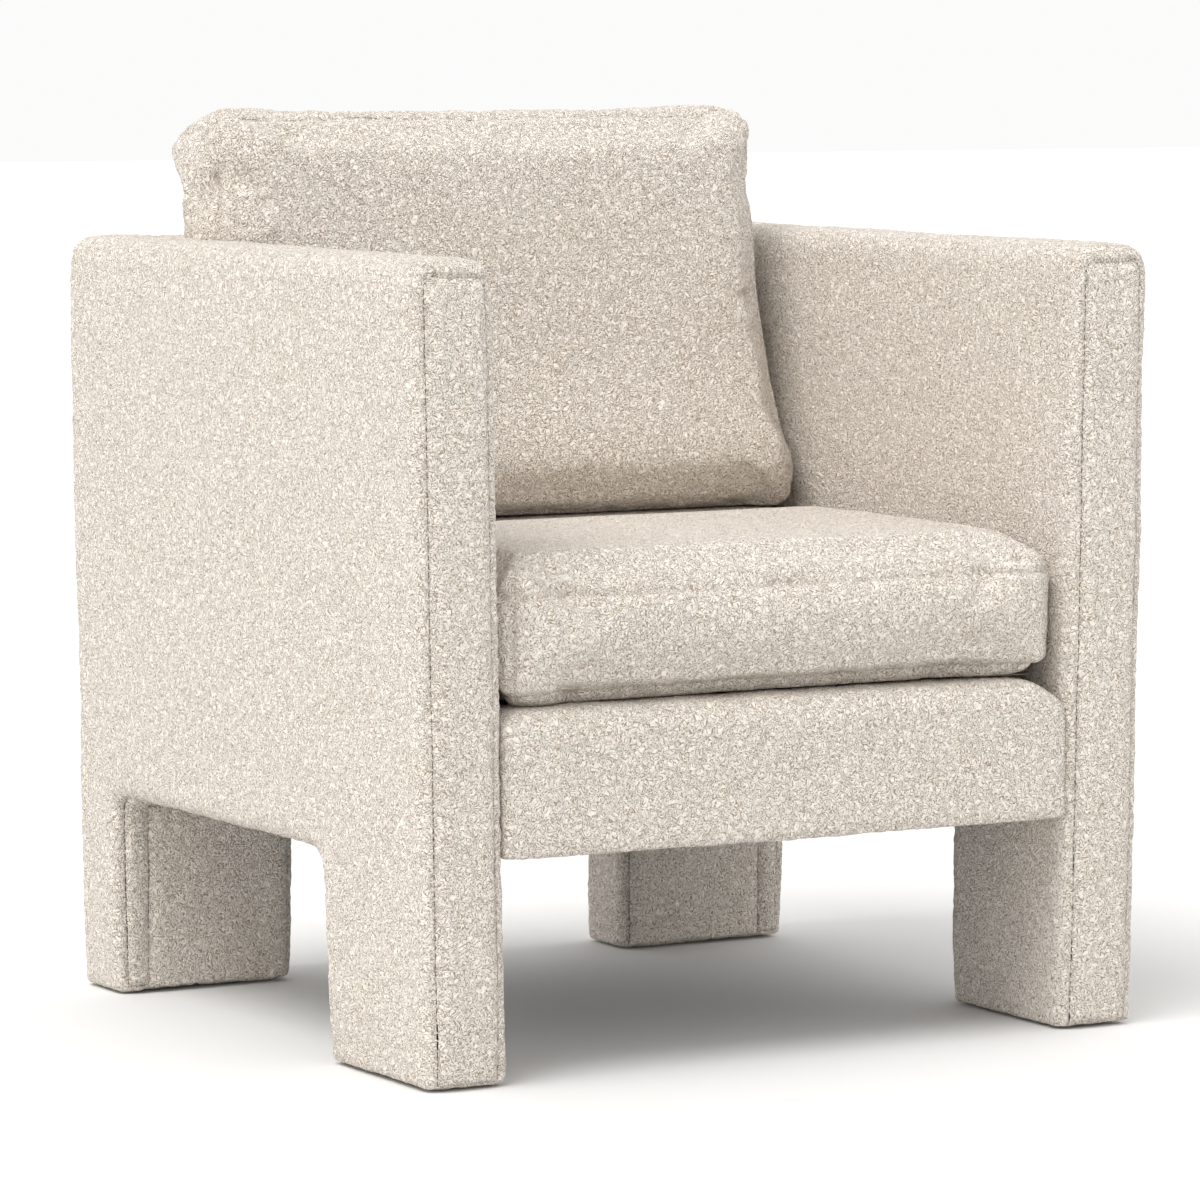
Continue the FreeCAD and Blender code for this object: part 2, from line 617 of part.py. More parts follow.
def make_seat_cushion():
    outer = seat_cushion(0)
    inner = seat_cushion(COVER)
    export("seat_cushion_cover", solids(outer.cut(inner)))
    export("seat_cushion_foam", solids(inner))
    turn = FreeCAD.Rotation(X_AXIS, 90)
    middle = (SEAT_CUSHION_FOOT + SEAT_CUSHION_BOTTOM_RADIUS + SEAT_CUSHION_TOP - SEAT_CUSHION_TOP_RADIUS) / 2
    place = FreeCAD.Placement(FreeCAD.Vector(0, SEAT_CUSHION_REAR, middle), turn)
    export("seat_cushion_zip", zip_tape().transformed(place.toMatrix()))
    export("seat_zip_slider", zip_slider().transformed(place.toMatrix()))


def back_cushion_rear():
    """Foot of the cushion's rear face, which leans on the rounded top edge of the back."""
    angle = math.radians(BACK_CUSHION_LEAN)
    rise = ARM_HEIGHT - EDGE_RADIUS - BACK_CUSHION_FOOT
    reach = EDGE_RADIUS + CUSHION_TO_BACK
    y = BACK_FACE + EDGE_RADIUS - reach / math.cos(angle) - rise * math.tan(angle)
    return FreeCAD.Vector(0, y, BACK_CUSHION_FOOT)


def back_cushion():
    """Leaning box cushion with a level underside."""
    angle = math.radians(BACK_CUSHION_LEAN)
    up = FreeCAD.Vector(0, math.sin(angle), math.cos(angle))
    forward = FreeCAD.Vector(0, -math.cos(angle), math.sin(angle))
    rear_foot = back_cushion_rear()
    rear_top = rear_foot + up * BACK_CUSHION_HEIGHT
    front_top = rear_top + forward * BACK_CUSHION_THICKNESS
    front_foot = rear_foot + FreeCAD.Vector(0, -BACK_CUSHION_THICKNESS / math.cos(angle), 0)
    outline = [(p.y, p.z) for p in (rear_foot, rear_top, front_top, front_foot)]
    cushion = prism_along_x(outline, -BACK_CUSHION_HALF, BACK_CUSHION_HALF)
    return cushion.makeFillet(BACK_CUSHION_RADIUS, cushion.Edges)


def make_back_cushion():
    outer = back_cushion()
    inner = outer.makeOffsetShape(-COVER, 0.01)
    export("back_cushion_cover", solids(outer.cut(inner)))
    export("back_cushion_filling", solids(inner))
    angle = math.radians(BACK_CUSHION_LEAN)
    up = FreeCAD.Vector(0, math.sin(angle), math.cos(angle))
    place = FreeCAD.Placement(back_cushion_rear() + up * BACK_ZIP_HEIGHT,
                              FreeCAD.Rotation(X_AXIS, 90 - BACK_CUSHION_LEAN))
    export("back_cushion_zip", zip_tape().transformed(place.toMatrix()))
    export("back_zip_slider", zip_slider().transformed(place.toMatrix()))


os.makedirs("parts", exist_ok=True)
make_covers()
make_pads()
CORE_BODY = carcass(CORE, CORE_FOOT)
for side_name, side_sign in SIDES.items():
    make_arm_frame(side_name, side_sign, CORE_BODY)
make_back_frame(CORE_BODY)
make_foot_blocks()
make_seat_frame()
make_springs()
make_seat_upholstery()
export("glides", Part.makeCompound(glides()))
export("seat_bolts", Part.makeCompound(seat_bolts()))
export("rail_screws", Part.makeCompound(rail_screws()))
make_seat_cushion()
make_back_cushion()
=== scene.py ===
import math
import random

import bmesh
import bpy
from mathutils import Matrix, Vector, noise
from mathutils.kdtree import KDTree


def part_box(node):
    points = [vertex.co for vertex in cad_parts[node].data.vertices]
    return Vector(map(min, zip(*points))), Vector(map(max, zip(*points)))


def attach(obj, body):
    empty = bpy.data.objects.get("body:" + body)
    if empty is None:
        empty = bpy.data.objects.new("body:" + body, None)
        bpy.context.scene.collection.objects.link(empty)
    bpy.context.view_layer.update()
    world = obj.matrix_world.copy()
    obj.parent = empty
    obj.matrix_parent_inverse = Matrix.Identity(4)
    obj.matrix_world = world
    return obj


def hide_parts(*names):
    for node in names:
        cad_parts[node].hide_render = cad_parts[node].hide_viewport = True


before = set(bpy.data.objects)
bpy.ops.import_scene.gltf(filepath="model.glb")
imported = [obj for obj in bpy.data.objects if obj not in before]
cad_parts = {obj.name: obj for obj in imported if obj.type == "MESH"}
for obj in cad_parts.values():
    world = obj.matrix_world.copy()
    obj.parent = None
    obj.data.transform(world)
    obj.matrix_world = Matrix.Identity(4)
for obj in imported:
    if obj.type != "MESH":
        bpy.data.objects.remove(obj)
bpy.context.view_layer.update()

# ---- The room: a pale studio floor, one broad soft light high on the left and an even white surround.
# The camera stands low and to the front left, a long way off.

bpy.ops.mesh.primitive_plane_add(size=60)
floor = bpy.context.object
floor.name = "studio_floor"

camera_data = bpy.data.cameras.new("camera")
camera_data.sensor_width = 36
camera_data.lens = 180.96
camera = bpy.data.objects.new("camera", camera_data)
camera.location = (-2.729, -4.732, 0.897)
camera.rotation_euler = (math.radians(84.5), 0, math.radians(-30))
bpy.context.collection.objects.link(camera)
bpy.context.scene.camera = camera

lamp = bpy.data.lights.new("key", "SUN")
lamp.angle = math.radians(35)
lamp.energy = 1.75
lamp.color = (1.0, 0.99, 0.975)
key = bpy.data.objects.new("key", lamp)
key.rotation_euler = Vector((0.48, 0.16, -0.86)).to_track_quat("-Z", "Y").to_euler()
bpy.context.collection.objects.link(key)

world = bpy.data.worlds.new("studio")
bpy.context.scene.world = world
world.use_nodes = True
world.node_tree.nodes["Background"].inputs["Color"].default_value = (1.0, 0.998, 0.995, 1)
world.node_tree.nodes["Background"].inputs["Strength"].default_value = 0.97
bpy.context.scene.view_settings.view_transform = "Standard"


class Value:
    """A node's output, so that shader sums can be written as sums."""

    def __init__(self, finish, socket):
        self.finish = finish
        self.socket = socket

    def __add__(self, other):
        return self.finish.maths("ADD", self, other)

    def __mul__(self, other):
        return self.finish.maths("MULTIPLY", self, other)

    def __sub__(self, other):
        return self.finish.maths("SUBTRACT", self, other)

    def __rsub__(self, other):
        return self.finish.maths("SUBTRACT", other, self)

    __radd__ = __add__
    __rmul__ = __mul__


class Finish:
    """A material under construction, with the values that many finishes start from."""

    def __init__(self, name, roughness=0.6, **constants):
        self.material = bpy.data.materials.new(name)
        self.material.use_nodes = True
        self.tree = self.material.node_tree
        self.shader = self.tree.nodes["Principled BSDF"]
        self.put("Roughness", roughness)
        for socket, value in constants.items():
            self.put(socket.replace("_", " "), value)
        self.place = self.node("TexCoord", output="Object")

    def node(self, kind, settings=None, inputs=None, output=0):
        """Add a node: its settings first, then its inputs, each a number, a colour or a Value."""
        made = self.tree.nodes.new("ShaderNode" + kind)
        for name, setting in (settings or {}).items():
            setattr(made, name, setting)
        for name, given in (inputs or {}).items():
            self.join(given, made.inputs[name])
        return Value(self, made.outputs[output])

    def join(self, given, socket):
        if isinstance(given, Value):
            self.tree.links.new(given.socket, socket)
        else:
            socket.default_value = given

    def put(self, socket, given):
        self.join(given, self.shader.inputs[socket])

    def maths(self, operation, *terms):
        return self.node("Math", {"operation": operation}, dict(enumerate(terms)))

    def mix(self, share, first, second):
        """A colour between two colours."""
        return self.node("Mix", {"data_type": "RGBA"}, {0: share, 6: first, 7: second}, 2)

    def mottle(self, scale, detail=2.0, roughness=0.5, place=None, distortion=0.0):
        """Smooth random patches, so many to the metre."""
        return self.node("TexNoise", {"noise_dimensions": "3D"}, {
            "Vector": place or self.place, "Scale": scale, "Detail": detail,
            "Roughness": roughness, "Distortion": distortion})

    def between(self, value, low, high):
        """0 at or under one value, 1 at or over the other, and a soft step in between."""
        return self.node("MapRange", {"interpolation_type": "SMOOTHSTEP"},
                         {"Value": value, "From Min": low, "From Max": high})

    def bump(self, height, distance, strength=1.0):
        return self.node("Bump", None, {"Height": height, "Distance": distance, "Strength": strength})


floor_finish = Finish("studio_floor", 0.9)
floor_finish.put("Base Color", floor_finish.mix(
    floor_finish.mottle(1.5), (0.79, 0.79, 0.785, 1), (0.81, 0.81, 0.805, 1)))
floor.data.materials.append(floor_finish.material)


# ---- The fabric: an oatmeal boucle of curled, looped wool yarn. The loops are two to three
# millimetres across and run together like worms, with painted shade in the gaps between them, and
# the wool is a little yellower or pinker from place to place. Near a seam it is pressed in, and painted
# shade darkens it.

YARN_LIT = (0.920, 0.862, 0.788, 1)
YARN_WARM = (0.908, 0.822, 0.708, 1)
YARN_PINK = (0.912, 0.822, 0.748, 1)
# The colour of the painted shade down in the gaps between the loops.
YARN_GAP_SHADE = (0.395, 0.310, 0.228, 1)
SEAM_SHADE = (0.330, 0.275, 0.220, 1)


def boucle(name):
    wool = Finish(name, 0.92, Sheen_Weight=0.20, Sheen_Roughness=0.45, Specular_IOR_Level=0.15)
    sway = wool.node("TexNoise", None, {
        "Vector": wool.place, "Scale": 120.0, "Detail": 1.0}, "Color")
    centred = wool.node("VectorMath", {"operation": "SUBTRACT"}, {0: sway, 1: (0.5, 0.5, 0.5)})
    swayed = wool.node("VectorMath", {"operation": "MULTIPLY_ADD"},
                       {0: centred, 1: (0.010, 0.010, 0.010), 2: wool.place})
    loops = wool.node("TexVoronoi", {"feature": "SMOOTH_F1"}, {
        "Vector": swayed, "Scale": 430.0, "Smoothness": 0.30, "Randomness": 1.0}, "Distance")
    curls = wool.mottle(330.0, 1.0, 0.45, swayed)
    worms = wool.maths("ABSOLUTE", wool.maths("SINE", curls * 12.0))
    crumbs = wool.mottle(620.0, 2.0, 0.6)
    nub = 1.0 - wool.between(loops, 0.12, 0.72)
    height = nub * 0.50 + worms * 0.42 + crumbs * 0.20
    # Painted shade: this mask lays the dark gap colour into the gaps between the loops, where shade
    # falls.
    gap_shade = wool.between(nub * 0.45 + worms * 0.55, 0.10, 0.50)
    tint = wool.mix(wool.between(wool.mottle(9.0), 0.35, 0.65), YARN_WARM, YARN_PINK)
    lit = wool.mix(wool.between(wool.mottle(420.0, 1.0), 0.30, 0.62), tint, YARN_LIT)
    yarn = wool.mix(gap_shade, YARN_GAP_SHADE, lit)
    # Painted shade: the seam attribute mixes SEAM_SHADE into the colour along each seam's groove.
    seam = wool.node("Attribute", {"attribute_name": "seam"}, None, "Fac")
    wool.put("Base Color", wool.mix(seam, yarn, SEAM_SHADE))
    wool.put("Normal", wool.bump(height, 0.0023, 0.9))
    return wool.material


BOUCLE = boucle("boucle")


# ---- The arms, the back and the six leg faces: wadding over board and timber, covered in boucle that
# is cut in panels and sewn by hand from outside. Each arm cover wraps ten millimetres round onto the
# front, where a narrow boxing panel is ladder-stitched in; the rear panel closes the back the same way.

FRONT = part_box("left_arm_front_panel")[0].y
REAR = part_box("outside_back_cover")[1].y
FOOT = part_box("outside_back_cover")[0].z
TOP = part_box("right_arm_cover")[1].z
BACK_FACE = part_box("inside_back_cover")[0].y
COVER = 0.002
ARCH_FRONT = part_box("left_arch_lining")[0].y + COVER
ARCH_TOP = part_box("left_arch_lining")[1].z - COVER
RAIL_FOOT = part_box("front_rail_cover")[0].z
RAIL_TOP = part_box("front_rail_cover")[1].z
LEG_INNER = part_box("right_rear_leg_wrap")[0].x
ARM = 0.080
LEAN = 0.012 / 0.696
HALF_FLOOR = 0.360
BELOW = FOOT - 0.014          # the slabs start lower and are cut off flat at the foot
RIM = 0.016
FRONT_SEAM = 0.0105           # from the sides and top of an arm to the seam round its front panel
FRONT_SEAM_ROUND = 0.013
REAR_SEAM = 0.0035
LINING_EDGE = 0.009
WRAP_TOP = ARCH_TOP - 0.010
WRAP_INNER = LEG_INNER + 0.006
WRAP_OUTER = 0.330
FABRIC_MESH = 0.0044
SIDES = {"left": -1, "right": 1}
ARM_TOP_ROUND = 0.021         # the arms' outline, at the top of the front and of the back
ARCH_FRONT_ROUND = 0.024
ARCH_REAR_ROUND = 0.011
ARM_ZONE = 0.26               # further out than this there is only arm
FRONT_ZONE = 0.02             # this near the front there is only front panel and wrap
TOP_ZONE = 0.045
CORNER_TURNS = (22.5, 45, 67.5)   # a seam goes round a corner in straight runs at these angles
ARCH_PAST = 0.012             # how far an arch's lining reaches past its rear corner
WRAP_NEAR = 0.014             # seams of a rear leg's wrap lie this near to the face of the back
BEHIND_FACE = 0.006

random.seed(7)


def arm_x(depth, z):
    """Distance from the middle of the chair to a plane this deep behind an arm's outer face."""
    return HALF_FLOOR - depth + LEAN * z


def plate(outline, rounds, thickness, rim):
    """A flat outline with some corners rounded, thickened along +X, with a rounded rim."""
    bm = bmesh.new()
    corners = [bm.verts.new((0, y, z)) for y, z in outline]
    bm.faces.new(corners)
    for corner, radius in rounds:
        bmesh.ops.bevel(bm, geom=[corners[corner]], offset=radius, segments=6, profile=0.5,
                        affect="VERTICES", material=-1)
    grown = bmesh.ops.extrude_face_region(bm, geom=bm.faces[:])["geom"]
    bmesh.ops.translate(bm, verts=[v for v in grown if isinstance(v, bmesh.types.BMVert)],
                        vec=(thickness, 0, 0))
    bmesh.ops.recalc_face_normals(bm, faces=bm.faces[:])
    edges = [e for e in bm.edges if abs(e.verts[0].co.x - e.verts[1].co.x) < 1e-6]
    bmesh.ops.bevel(bm, geom=edges, offset=rim, segments=6, profile=0.5, affect="EDGES", material=-1)
    return bm


def gathered(parts):
    """Several bmeshes as one."""
    whole = bmesh.new()
    for part in parts:
        mesh = bpy.data.meshes.new("part")
        part.to_mesh(mesh)
        part.free()
        whole.from_mesh(mesh)
        bpy.data.meshes.remove(mesh)
    return whole


def remeshed(bm, size, smoothing):
    """One even skin round everything in the bmesh."""
    mesh = bpy.data.meshes.new("block")
    bm.to_mesh(mesh)
    bm.free()
    block = bpy.data.objects.new("block", mesh)
    bpy.context.collection.objects.link(block)
    skin = block.modifiers.new("skin", "REMESH")
    skin.mode = "VOXEL"
    skin.voxel_size = size
    even = bpy.data.meshes.new_from_object(block.evaluated_get(bpy.context.evaluated_depsgraph_get()))
    bpy.data.objects.remove(block)
    made = bmesh.new()
    made.from_mesh(even)
    for _ in range(smoothing):
        bmesh.ops.smooth_vert(made, verts=made.verts[:], factor=0.5,
                              use_axis_x=True, use_axis_y=True, use_axis_z=True)
    return made


def cut(bm, point, normal, near):
    """Run a seam line through the faces whose middles pass a test."""
    point, normal = Vector(point), Vector(normal).normalized()
    reach = 0.3 * FABRIC_MESH
    faces = [f for f in bm.faces if near(f.calc_center_median())]
    verts = {v for f in faces for v in f.verts}
    for v in verts:
        off = (v.co - point).dot(normal)
        if abs(off) < reach:
            v.co -= off * normal
    geom = faces + list({e for f in faces for e in f.edges}) + list(verts)
    bmesh.ops.bisect_plane(bm, geom=geom, dist=1e-5, plane_co=point, plane_no=normal)


def seam_edges(bm):
    """The edges between faces of different patches."""
    return [e for e in bm.edges if len(e.link_faces) == 2
            and e.link_faces[0].material_index != e.link_faces[1].material_index]


SEAM_REACH = 0.0034           # how far each side of a seam the cloth is drawn in
PUCKER = 0.0011               # gathers beside a seam, and how far from it they fade out
PUCKER_FADE = 0.016
SWELL = 0.0006                # the cloth stands a little higher just beside a seam
SWELL_AWAY = 0.013
SWELL_WIDTH = 0.008
LOOSE_WAVE = 0.0016           # the wadding's own unevenness, long and short
LOOSE_RIPPLE = 0.0007


def tailor(bm, patch_of, patches, groove, nubs, bulge):
    """Divide the skin into patches, pull it in along the seams between them, and raise its loops.
    Returns the tree of points on the seams."""
    for f in bm.faces:
        f.material_index = patches.index(patch_of(f.calc_center_median(), f.normal))
    marked = {v for e in seam_edges(bm) for v in e.verts}
    beside = {e for v in marked for f in v.link_faces for e in f.edges}
    bmesh.ops.subdivide_edges(bm, edges=list(beside), cuts=1, use_grid_fill=True)
    points = [(e.verts[0].co + e.verts[1].co) / 2 for e in seam_edges(bm)]
    points += [v.co.copy() for v in {v for e in seam_edges(bm) for v in e.verts}]
    tree = KDTree(len(points))
    for number, point in enumerate(points):
        tree.insert(point, number)
    tree.balance()
    shade = bm.verts.layers.float.new("seam")
    bm.normal_update()
    moved = []
    for v in bm.verts:
        away = tree.find(v.co)[2] if points else 1.0
        near = math.exp(-(away / SEAM_REACH) ** 2)
        pucker = noise.noise(v.co * 75) * PUCKER * math.exp(-away / PUCKER_FADE)
        swell = SWELL * math.exp(-((away - SWELL_AWAY) / SWELL_WIDTH) ** 2)
        rise = bulge(v.co, v.normal) + swell + pucker
        rise += noise.noise(v.co * 8) * LOOSE_WAVE + noise.noise(v.co * 31) * LOOSE_RIPPLE
        rise += random.gauss(0, nubs) * (1 - near) - groove * near
        # The seam layer is painted shade, darkest in the groove along each seam and fading away from
        # it.
        v[shade] = max(0, near * (0.14 + 0.45 * noise.noise(v.co * 130)))
        moved.append(v.co + v.normal * rise)
    for v, place in zip(bm.verts, moved):
        v.co = place
    return tree


def piece(name, bm, material, body):
    """Finish a bmesh as a smooth object that rides on a body."""
    mesh = bpy.data.meshes.new(name)
    bm.to_mesh(mesh)
    bm.free()
    for polygon in mesh.polygons:
        polygon.use_smooth = True
        polygon.material_index = 0
    mesh.materials.append(material)
    made = bpy.data.objects.new(name, mesh)
    bpy.context.collection.objects.link(made)
    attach(made, body)
    return made


ARM_OUTLINE = [(FRONT, BELOW), (FRONT, TOP), (REAR, TOP), (REAR, BELOW),
               (BACK_FACE, BELOW), (BACK_FACE, ARCH_TOP), (ARCH_FRONT, ARCH_TOP), (ARCH_FRONT, BELOW)]
END = HALF_FLOOR - 0.4 * ARM
BACK_OUTLINE = [(-END, BELOW), (-END, TOP), (END, TOP), (END, BELOW),
                (LEG_INNER, BELOW), (LEG_INNER, RAIL_FOOT),
                (-LEG_INNER, RAIL_FOOT), (-LEG_INNER, BELOW)]

slabs = []
for side in SIDES.values():
    arm = plate(ARM_OUTLINE, [(1, ARM_TOP_ROUND), (2, ARM_TOP_ROUND), (5, ARCH_REAR_ROUND),
                              (6, ARCH_FRONT_ROUND)], ARM, RIM)
    leaning = Matrix.Translation((arm_x(ARM, 0) if side > 0 else -HALF_FLOOR, 0, 0))
    leaning[0][2] = side * LEAN
    bmesh.ops.transform(arm, matrix=leaning, verts=arm.verts[:])
    slabs.append(arm)
back = plate(BACK_OUTLINE, [(5, ARCH_REAR_ROUND), (6, ARCH_REAR_ROUND)], REAR - BACK_FACE, RIM)
bmesh.ops.transform(back, verts=back.verts[:], matrix=Matrix.Translation((0, REAR, 0))
                    @ Matrix.Rotation(math.radians(-90), 4, "Z"))
slabs.append(back)
for slab in slabs:
    bmesh.ops.bisect_plane(slab, geom=slab.verts[:] + slab.edges[:] + slab.faces[:], dist=1e-6,
                           plane_co=(0, 0, FOOT), plane_no=(0, 0, -1), clear_outer=True)
    bmesh.ops.holes_fill(slab, edges=[e for e in slab.edges if e.is_boundary], sides=0)
body = remeshed(gathered(slabs), FABRIC_MESH, 3)

for side in SIDES.values():
    out = Vector((side, 0, -LEAN))

    def at_front(c):
        return c.y < FRONT + FRONT_ZONE and side * c.x > ARM_ZONE

    def at_top(c):
        return at_front(c) and c.z > TOP - TOP_ZONE

    def in_arch(c):
        return (side * c.x > ARM_ZONE and ARCH_FRONT - 0.02 < c.y < BACK_FACE + ARCH_PAST
                and c.z < ARCH_TOP + 0.02)

    for depth, facing in ((FRONT_SEAM, 1), (ARM - FRONT_SEAM, -1)):
        cut(body, (side * arm_x(depth, 0), 0, 0), out, at_front)
        middle = Vector((side * arm_x(depth + facing * FRONT_SEAM_ROUND, TOP), 0,
                         TOP - FRONT_SEAM - FRONT_SEAM_ROUND))
        for turn in CORNER_TURNS:
            angle = math.radians(turn)
            toward = Vector((side * facing * math.cos(angle), 0, math.sin(angle)))
            cut(body, middle + toward * FRONT_SEAM_ROUND, toward,
                lambda c: at_top(c) and (c - middle).dot(toward) > 0)
    cut(body, (0, 0, TOP - FRONT_SEAM), (0, 0, 1), at_top)
    for depth in (LINING_EDGE, ARM - LINING_EDGE):
        cut(body, (side * arm_x(depth, 0), 0, 0), out, in_arch)
    for x in (WRAP_INNER, WRAP_OUTER):
        cut(body, (side * x, 0, 0), (1, 0, 0),
            lambda c: side * c.x > 0 and abs(c.y - BACK_FACE) < WRAP_NEAR and c.z < WRAP_TOP + 0.01)
    cut(body, (side * arm_x(ARM + 0.001, 0), 0, 0), out,
        lambda c: side * c.x > 0.2 and c.y > BACK_FACE - BEHIND_FACE and c.z > WRAP_TOP - 0.01)
cut(body, (0, 0, WRAP_TOP), (0, 0, 1),
    lambda c: abs(c.z - WRAP_TOP) < 0.01 and c.y > BACK_FACE - 0.01)
cut(body, (0, REAR - REAR_SEAM, 0), (0, 1, 0), lambda c: c.y > REAR - 0.02)


def in_front_panel(depth, z):
    """Whether a point on the front of an arm is inside the seam round its boxing panel."""
    across = min(depth, ARM - depth) - FRONT_SEAM
    down = TOP - FRONT_SEAM - z
    if min(across, down) < 0:
        return False
    corner = (FRONT_SEAM_ROUND - across, FRONT_SEAM_ROUND - down)
    return all(corner[0] * math.cos(math.radians(turn)) + corner[1] * math.sin(math.radians(turn))
               < FRONT_SEAM_ROUND for turn in CORNER_TURNS)


def body_patch(c, normal):
    """The fabric patch that a face of the arms, back or legs belongs to."""
    side = "left" if c.x < 0 else "right"
    across = abs(c.x)
    depth = arm_x(0, c.z) - across
    if c.y > REAR - REAR_SEAM:
        return "outside_back"
    if c.y < FRONT + 0.015 and in_front_panel(depth, c.z) and normal.z > -0.7:
        return side + "_front"
    if c.z < WRAP_TOP and c.y > BACK_FACE - ARCH_PAST and across < WRAP_OUTER:
        outer = abs(c.y - BACK_FACE) < WRAP_NEAR and across > WRAP_INNER and normal.y < -0.3
        inner = across < WRAP_INNER or c.z < FOOT + 0.004 or across < END - 0.04
        if outer:
            return side + "_leg_front"
        if inner and across < arm_x(ARM, c.z):
            return side + "_leg_inner"
    if LINING_EDGE < depth < ARM - LINING_EDGE and ARCH_FRONT - 0.016 < c.y < BACK_FACE + ARCH_PAST:
        faces_in = normal.y > 0.2 or normal.z < -0.2 or c.y > BACK_FACE - ARCH_PAST
        if FOOT + 0.005 < c.z < ARCH_TOP + 0.016 and faces_in:
            return side + "_arch"
    if depth > ARM + 0.001 and c.y > BACK_FACE - BEHIND_FACE:
        return "inside_back"
    return side + "_arm"


def ease(x):
    """0 up to 0, 1 from 1 on, and smooth between."""
    x = min(max(x, 0), 1)
    return x * x * (3 - 2 * x)


SIDE_CROWN = 0.0030
TOP_CROWN = 0.0034
FRONT_CROWN = 0.0030


def body_bulge(c, normal):
    """How far the wadding fills the middle of each panel."""
    lengthwise = ease((c.y - FRONT) / 0.09) * ease((REAR - c.y) / 0.09)
    upright = ease((TOP - c.z) / 0.09) * ease((c.z - FOOT) / 0.06)
    depth = arm_x(0, c.z) - abs(c.x)
    crown = max(0, 1 - ((depth - ARM / 2) / (ARM / 2)) ** 2)
    rise = SIDE_CROWN * abs(normal.x) * lengthwise * upright
    if normal.z > 0.5 and c.z > TOP - 0.02:
        rise += TOP_CROWN * crown
    if normal.y < -0.5 and c.y < FRONT + 0.02:
        rise += FRONT_CROWN * crown * upright
    return rise


BODY_PATCHES = ["outside_back", "inside_back"]
for side_name in SIDES:
    BODY_PATCHES += [side_name + "_" + part
                     for part in ("front", "leg_front", "leg_inner", "arch", "arm")]
BODY_GROOVE = 0.0021
BODY_NUBS = 0.00030           # how much the loops roughen the skin
tailor(body, body_patch, BODY_PATCHES, BODY_GROOVE, BODY_NUBS, body_bulge)


LOT = 40                      # shapes to a lot


def repeated(make, places):
    """A small shape made again at each place, in lots, since one long list of them is slow to make."""
    lots = []
    for first in range(0, len(places), LOT):
        lot = bmesh.new()
        for place in places[first:first + LOT]:
            make(lot, place)
        lots.append(lot)
    return gathered(lots)


THREAD_HALF = (0.0017, 0.0006, 0.0006, 1)     # half of what shows of a thread, across the seam first
THREAD_SUNK = 0.0003
STITCH_SPACING = 0.0075
STITCH_REACH = 0.6 * STITCH_SPACING           # two threads nearer than this are one


def one_thread(lot, place):
    bmesh.ops.create_uvsphere(lot, u_segments=6, v_segments=4, radius=1,
                              matrix=place @ Matrix.Diagonal(THREAD_HALF))


def stitches(name, bm, body_name):
    """Short threads across the seams of a skin, with dark openings left between them."""
    threads = []
    for e in seam_edges(bm):
        middle = (e.verts[0].co + e.verts[1].co) / 2
        step = (middle.x + middle.y + middle.z) / STITCH_SPACING
        if abs(step - round(step)) * STITCH_SPACING < 0.6 * e.calc_length():
            run = (e.verts[1].co - e.verts[0].co).normalized()
            up = (e.verts[0].normal + e.verts[1].normal).normalized()
            threads.append((middle, Matrix.Translation(middle - THREAD_SUNK * up)
                            @ Matrix((run.cross(up).normalized(), run, up)).transposed().to_4x4()))
    near = KDTree(len(threads))
    for number, (middle, place) in enumerate(threads):
        near.insert(middle, number)
    near.balance()
    dropped = set()
    for number, (middle, place) in enumerate(threads):
        if number not in dropped:
            close = near.find_range(middle, STITCH_REACH)
            dropped |= {other for _, other, _ in close if other != number}
    kept = [place for number, (middle, place) in enumerate(threads) if number not in dropped]
    return piece(name, repeated(one_thread, kept), THREAD, body_name)


thread_finish = Finish("thread", 0.7, Sheen_Weight=0.2)
thread_finish.put("Base Color", thread_finish.mix(
    thread_finish.mottle(900), (0.62, 0.54, 0.44, 1), (0.74, 0.67, 0.57, 1)))
thread_finish.put("Normal", thread_finish.bump(thread_finish.mottle(2400), 0.0002))
THREAD = thread_finish.material

stitches("frame_stitches", body, "chair_frame")

OPENING = 0.00004             # a seam's two edges stand apart, more between stitches and on the arches
OPENING_WAVE = 0.00026
OPENING_LOOSE = 0.0008
bmesh.ops.split_edges(body, edges=seam_edges(body))
for v in [v for v in body.verts if v.is_boundary]:
    inward = sum((f.calc_center_median() for f in v.link_faces), Vector()) / len(v.link_faces) - v.co
    wave = 0.5 - 0.5 * math.cos(2 * math.pi * (v.co.x + v.co.y + v.co.z) / STITCH_SPACING)
    loose = max(0, noise.noise(v.co * 37)) if v.co.z < ARCH_TOP + 0.03 else 0
    v.co += inward.normalized() * (OPENING + OPENING_WAVE * wave + OPENING_LOOSE * loose)


def panel(name, patches, *nodes):
    """One sewn fabric panel with its wadding, taken from the skin."""
    part = body.copy()
    kept = {BODY_PATCHES.index(patch) for patch in patches}
    others = [f for f in part.faces if f.material_index not in kept]
    bmesh.ops.delete(part, geom=others, context="FACES")
    made = piece(name, part, BOUCLE, "chair_frame")
    cloth = made.modifiers.new("cloth", "SOLIDIFY")
    cloth.thickness = COVER
    cloth.offset = -1
    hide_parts(*nodes)


for side_name in SIDES:
    panel(side_name + "_arm_fabric", [side_name + "_arm"],
          side_name + "_arm_cover", side_name + "_arm_pad")
    panel(side_name + "_front_boxing", [side_name + "_front"], side_name + "_arm_front_panel")
    panel(side_name + "_arch_fabric", [side_name + "_arch"], side_name + "_arch_lining")
    panel(side_name + "_rear_leg_fabric", [side_name + "_leg_front", side_name + "_leg_inner"],
          side_name + "_rear_leg_wrap")
panel("inside_back_fabric", ["inside_back"], "inside_back_cover", "back_pad", "inside_back_foam")
panel("outside_back_fabric", ["outside_back"], "outside_back_cover")
body.free()


# ---- The front rail: foam over a timber rail, covered in one strip of boucle that rolls over the top
# edge and is stapled underneath. Its ends butt against the arms, and its top edge droops towards
# them, more at the right end.

